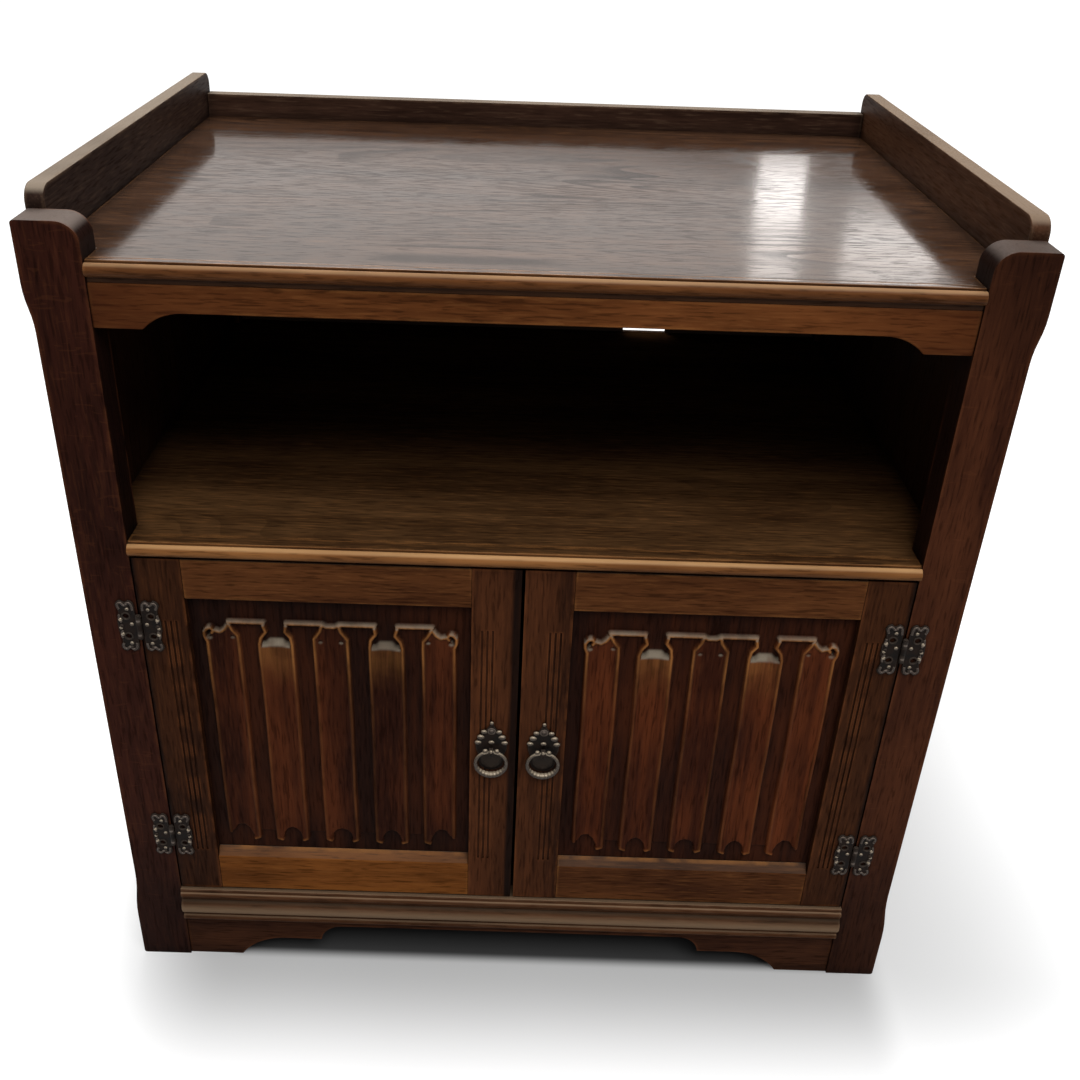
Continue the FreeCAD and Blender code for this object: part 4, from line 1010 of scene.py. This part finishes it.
def drop_ring(side, sign):
    """A ring that is thin where it hangs and swells to a beaded, worn bottom."""
    node = f"{side}_drop_ring"
    middle = Vector((sign * PULL_X, RING_Y, PULL_HEIGHT + RING_RISE - RING_OUTER))
    spots = []
    for step in range(RING_STEPS):
        turn = 2 * math.pi * step / RING_STEPS
        swell = (1 - math.cos(turn)) / 2
        tube = RING_THIN + (RING_THICK - RING_THIN) * swell * swell
        tube *= 1 + RING_BEADING * swell * math.cos(RING_BEADS * turn)
        reach = RING_OUTER - tube
        for part in range(TUBE_STEPS):
            angle = 2 * math.pi * part / TUBE_STEPS
            radius = reach + tube * math.cos(angle)
            off = Vector((radius * math.sin(turn), tube * math.sin(angle), radius * math.cos(turn)))
            spots.append((middle + off) * MM)
    faces = []
    for step in range(RING_STEPS):
        following = (step + 1) % RING_STEPS
        for part in range(TUBE_STEPS):
            beside = (part + 1) % TUBE_STEPS
            faces.append((step * TUBE_STEPS + part, following * TUBE_STEPS + part,
                          following * TUBE_STEPS + beside, step * TUBE_STEPS + beside))
    data = bpy.data.meshes.new(f"{side}_worn_ring")
    data.from_pydata(spots, [], faces)
    for face in data.polygons:
        face.use_smooth = True
    ring = add_piece(data.name, data, rubbed_iron, f"{side}_ring")
    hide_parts(node)
    knop_height = PULL_HEIGHT + KNOP_RISE
    knops = [(sign * PULL_X + way * KNOP_OFF, RING_Y, knop_height, KNOP_RADIUS) for way in (-1, 1)]
    beads(f"{side}_ring_knops", f"{side}_ring", knops, rubbed_iron)


for side, sign in SIDES.items():
    pull_trim(side, sign)
    drop_ring(side, sign)


# Floor, light and camera.

FLOOR_HALF = 30.0
FLOOR_PAINT = 0.36
FLOOR_SPECKLE = (3.0, 2.0, 0.0)
LEAST_SPECKLE = 0.95
# A painted shadow around the cabinet's footprint, in the floor's paint and in its glow.
FOOTPRINT_X, FOOTPRINT_Y = 0.365, 0.259
CONTACT_REACH = 0.016
SHADOW_REACH = 0.22
SHADOW_FLOOR = 0.15
CONTACT_GLOW, OPEN_GLOW = 0.2, 0.8
SHADOW_LEFT_END = -0.3
RIGHT_STEP, RIGHT_STEP_REACH = 0.085, 0.06
RIGHT_FADE, RIGHT_FADE_REACH = 0.14, 0.6


def off_footprint(shader):
    """How far a spot on the floor is from the cabinet, for its painted shadow, with a longer fade on the
    right.
    """
    to_right = shader.maths("SUBTRACT", shader.place("X"), FOOTPRINT_X)
    off_right = shader.maths("ADD", shader.ramp(to_right, 0.0, RIGHT_STEP_REACH, 0.0, RIGHT_STEP),
                             shader.ramp(to_right, RIGHT_STEP_REACH, RIGHT_FADE_REACH, 0.0, RIGHT_FADE))
    off_left = shader.maths("SUBTRACT", SHADOW_LEFT_END, shader.place("X"))
    beside = shader.maths("MAXIMUM", off_right, off_left)
    before = shader.maths("SUBTRACT", -FOOTPRINT_Y, shader.place("Y"))
    behind = shader.maths("SUBTRACT", shader.place("Y"), FOOTPRINT_Y)
    off_y = shader.maths("MAXIMUM", shader.maths("MAXIMUM", before, behind), 0.0)
    squares = shader.maths("ADD", shader.maths("POWER", beside, 2.0), shader.maths("POWER", off_y, 2.0))
    return shader.maths("SQRT", squares)


def stage_floor():
    """A pale floor with a painted shadow around the cabinet, that takes the real shadow too and reads as
    white around it.
    """
    shader = Shader("floor")
    near = off_footprint(shader)
    # Painted contact shadow in the floor's paint.
    painted_contact_shadow = shader.ramp(near, 0.0, CONTACT_REACH, SHADOW_FLOOR, 1.0)
    speckle = shader.noise(shader.add("TexCoord").outputs["Object"], FLOOR_SPECKLE)
    speckle_level = shader.ramp(speckle, *NOISE_SPREAD, LEAST_SPECKLE, 1.0)
    paint_level = shader.scaled(shader.scaled(painted_contact_shadow, FLOOR_PAINT), speckle_level)
    paint = shader.add("BsdfDiffuse", {"Color": paint_level})
    # The glow is held back near the cabinet, as part of the painted shadow.
    glow_level = shader.maths("ADD", shader.ramp(near, 0.0, CONTACT_REACH, 0.0, CONTACT_GLOW),
                              shader.ramp(near, CONTACT_REACH, SHADOW_REACH, 0.0, OPEN_GLOW))
    glow = shader.add("Emission", {"Strength": shader.scaled(shader.seen(), glow_level)})
    both = shader.add("AddShader", {0: paint.outputs[0], 1: glow.outputs[0]})
    shader.add("OutputMaterial", {"Surface": both.outputs[0]})
    half = FLOOR_HALF
    mesh = bpy.data.meshes.new("floor")
    floor_corners = [(-half, -half, 0), (half, -half, 0), (half, half, 0), (-half, half, 0)]
    mesh.from_pydata(floor_corners, [], [(0, 1, 2, 3)])
    mesh.materials.append(shader.material)
    floor = bpy.data.objects.new("floor", mesh)
    bpy.context.scene.collection.objects.link(floor)


def lamp(name, place, aim, size, power):
    """A soft box at a place, turned to a point."""
    data = bpy.data.lights.new(name, "AREA")
    data.shape = "RECTANGLE"
    data.size, data.size_y = size
    data.energy = power
    box = bpy.data.objects.new(name, data)
    box.location = place
    box.rotation_euler = (Vector(aim) - Vector(place)).to_track_quat("-Z", "Y").to_euler()
    box.visible_camera = False
    bpy.context.scene.collection.objects.link(box)


ROOM_LIGHT = 0.26
HORIZON_RISE = (0.2215, 0.2375)
HORIZON_LEVEL = 0.12
HORIZON_TILT = 0.038


def studio_world():
    """Dim white room light, seen as plain white behind the object and above a dim horizon in its gloss."""
    world = bpy.data.worlds.new("studio")
    world.use_nodes = True
    bpy.context.scene.world = world
    sky = Nodes(world.node_tree)
    direction = sky.add("SeparateXYZ", {0: sky.add("TexCoord").outputs["Generated"]})
    rise = sky.maths("SUBTRACT", direction.outputs["Z"], sky.scaled(direction.outputs["X"], HORIZON_TILT))
    horizon = sky.ramp(rise, *HORIZON_RISE, HORIZON_LEVEL, 1.0)
    white_level = sky.maths("MAXIMUM", horizon, sky.add("LightPath").outputs["Is Camera Ray"])
    room = sky.add("Background", {"Color": WHITE, "Strength": ROOM_LIGHT})
    white = sky.add("Background", {"Color": WHITE, "Strength": white_level})
    choice = sky.add("MixShader", {0: sky.seen(), 1: room.outputs[0], 2: white.outputs[0]})
    sky.add("OutputWorld", {"Surface": choice.outputs[0]})


IMAGE_SIDE = 1080.0
FOCAL_PIXELS = 1135.0
OPTICAL_CENTRE = (513.9, 461.9)
CAMERA_PLACE = (-0.0136, -1.11755, 1.0926)
CAMERA_PITCH = math.radians(28.43)
CAMERA_ROLL = math.radians(1.87)
CAMERA_YAW = math.radians(-0.08)
SENSOR = 36.0
FAR_CLIP = 200.0


def photo_camera():
    """The camera at the photograph's place and angle."""
    data = bpy.data.cameras.new("photo_camera")
    data.sensor_width = SENSOR
    data.lens = FOCAL_PIXELS / IMAGE_SIDE * SENSOR
    data.shift_x = 0.5 - OPTICAL_CENTRE[0] / IMAGE_SIDE
    data.shift_y = OPTICAL_CENTRE[1] / IMAGE_SIDE - 0.5
    data.clip_end = FAR_CLIP
    forward = Vector((0.0, math.cos(CAMERA_PITCH), -math.sin(CAMERA_PITCH)))
    level_right = Vector((1.0, 0.0, 0.0))
    level_down = Vector((0.0, -math.sin(CAMERA_PITCH), -math.cos(CAMERA_PITCH)))
    right = level_right * math.cos(CAMERA_ROLL) - level_down * math.sin(CAMERA_ROLL)
    down = level_right * math.sin(CAMERA_ROLL) + level_down * math.cos(CAMERA_ROLL)
    turn = Matrix.Rotation(CAMERA_YAW, 3, "Z")
    axes = Matrix((right, -down, -forward)).transposed()
    camera = bpy.data.objects.new("photo_camera", data)
    camera.matrix_world = Matrix.Translation(CAMERA_PLACE) @ (turn @ axes).to_4x4()
    bpy.context.scene.collection.objects.link(camera)
    bpy.context.scene.camera = camera


CABINET_MIDDLE = (0.0, 0.0, 0.5)
TOP_RIGHT_HALF = (0.24, 0.0, 0.8)

stage_floor()
studio_world()
lamp("front_box", place=(0.5, -1.9, 3.3), aim=CABINET_MIDDLE, size=(2.2, 1.6), power=80.0)
lamp("ceiling_box", place=(0.2, 0.2, 3.4), aim=CABINET_MIDDLE, size=(3.0, 3.0), power=40.0)
lamp("rear_box", place=(-0.5, 2.2, 3.2), aim=(0.0, 0.2, 0.4), size=(1.6, 1.2), power=40.0)
lamp("low_pane", place=(1.11, 3.79, 1.78), aim=TOP_RIGHT_HALF, size=(0.2, 0.26), power=0.5)
lamp("high_pane", place=(1.13, 3.79, 2.06), aim=TOP_RIGHT_HALF, size=(0.2, 0.29), power=0.38)
lamp("side_pane", place=(1.64, 3.79, 2.07), aim=TOP_RIGHT_HALF, size=(0.42, 0.32), power=0.72)
photo_camera()

bpy.context.scene.view_settings.view_transform = "Standard"
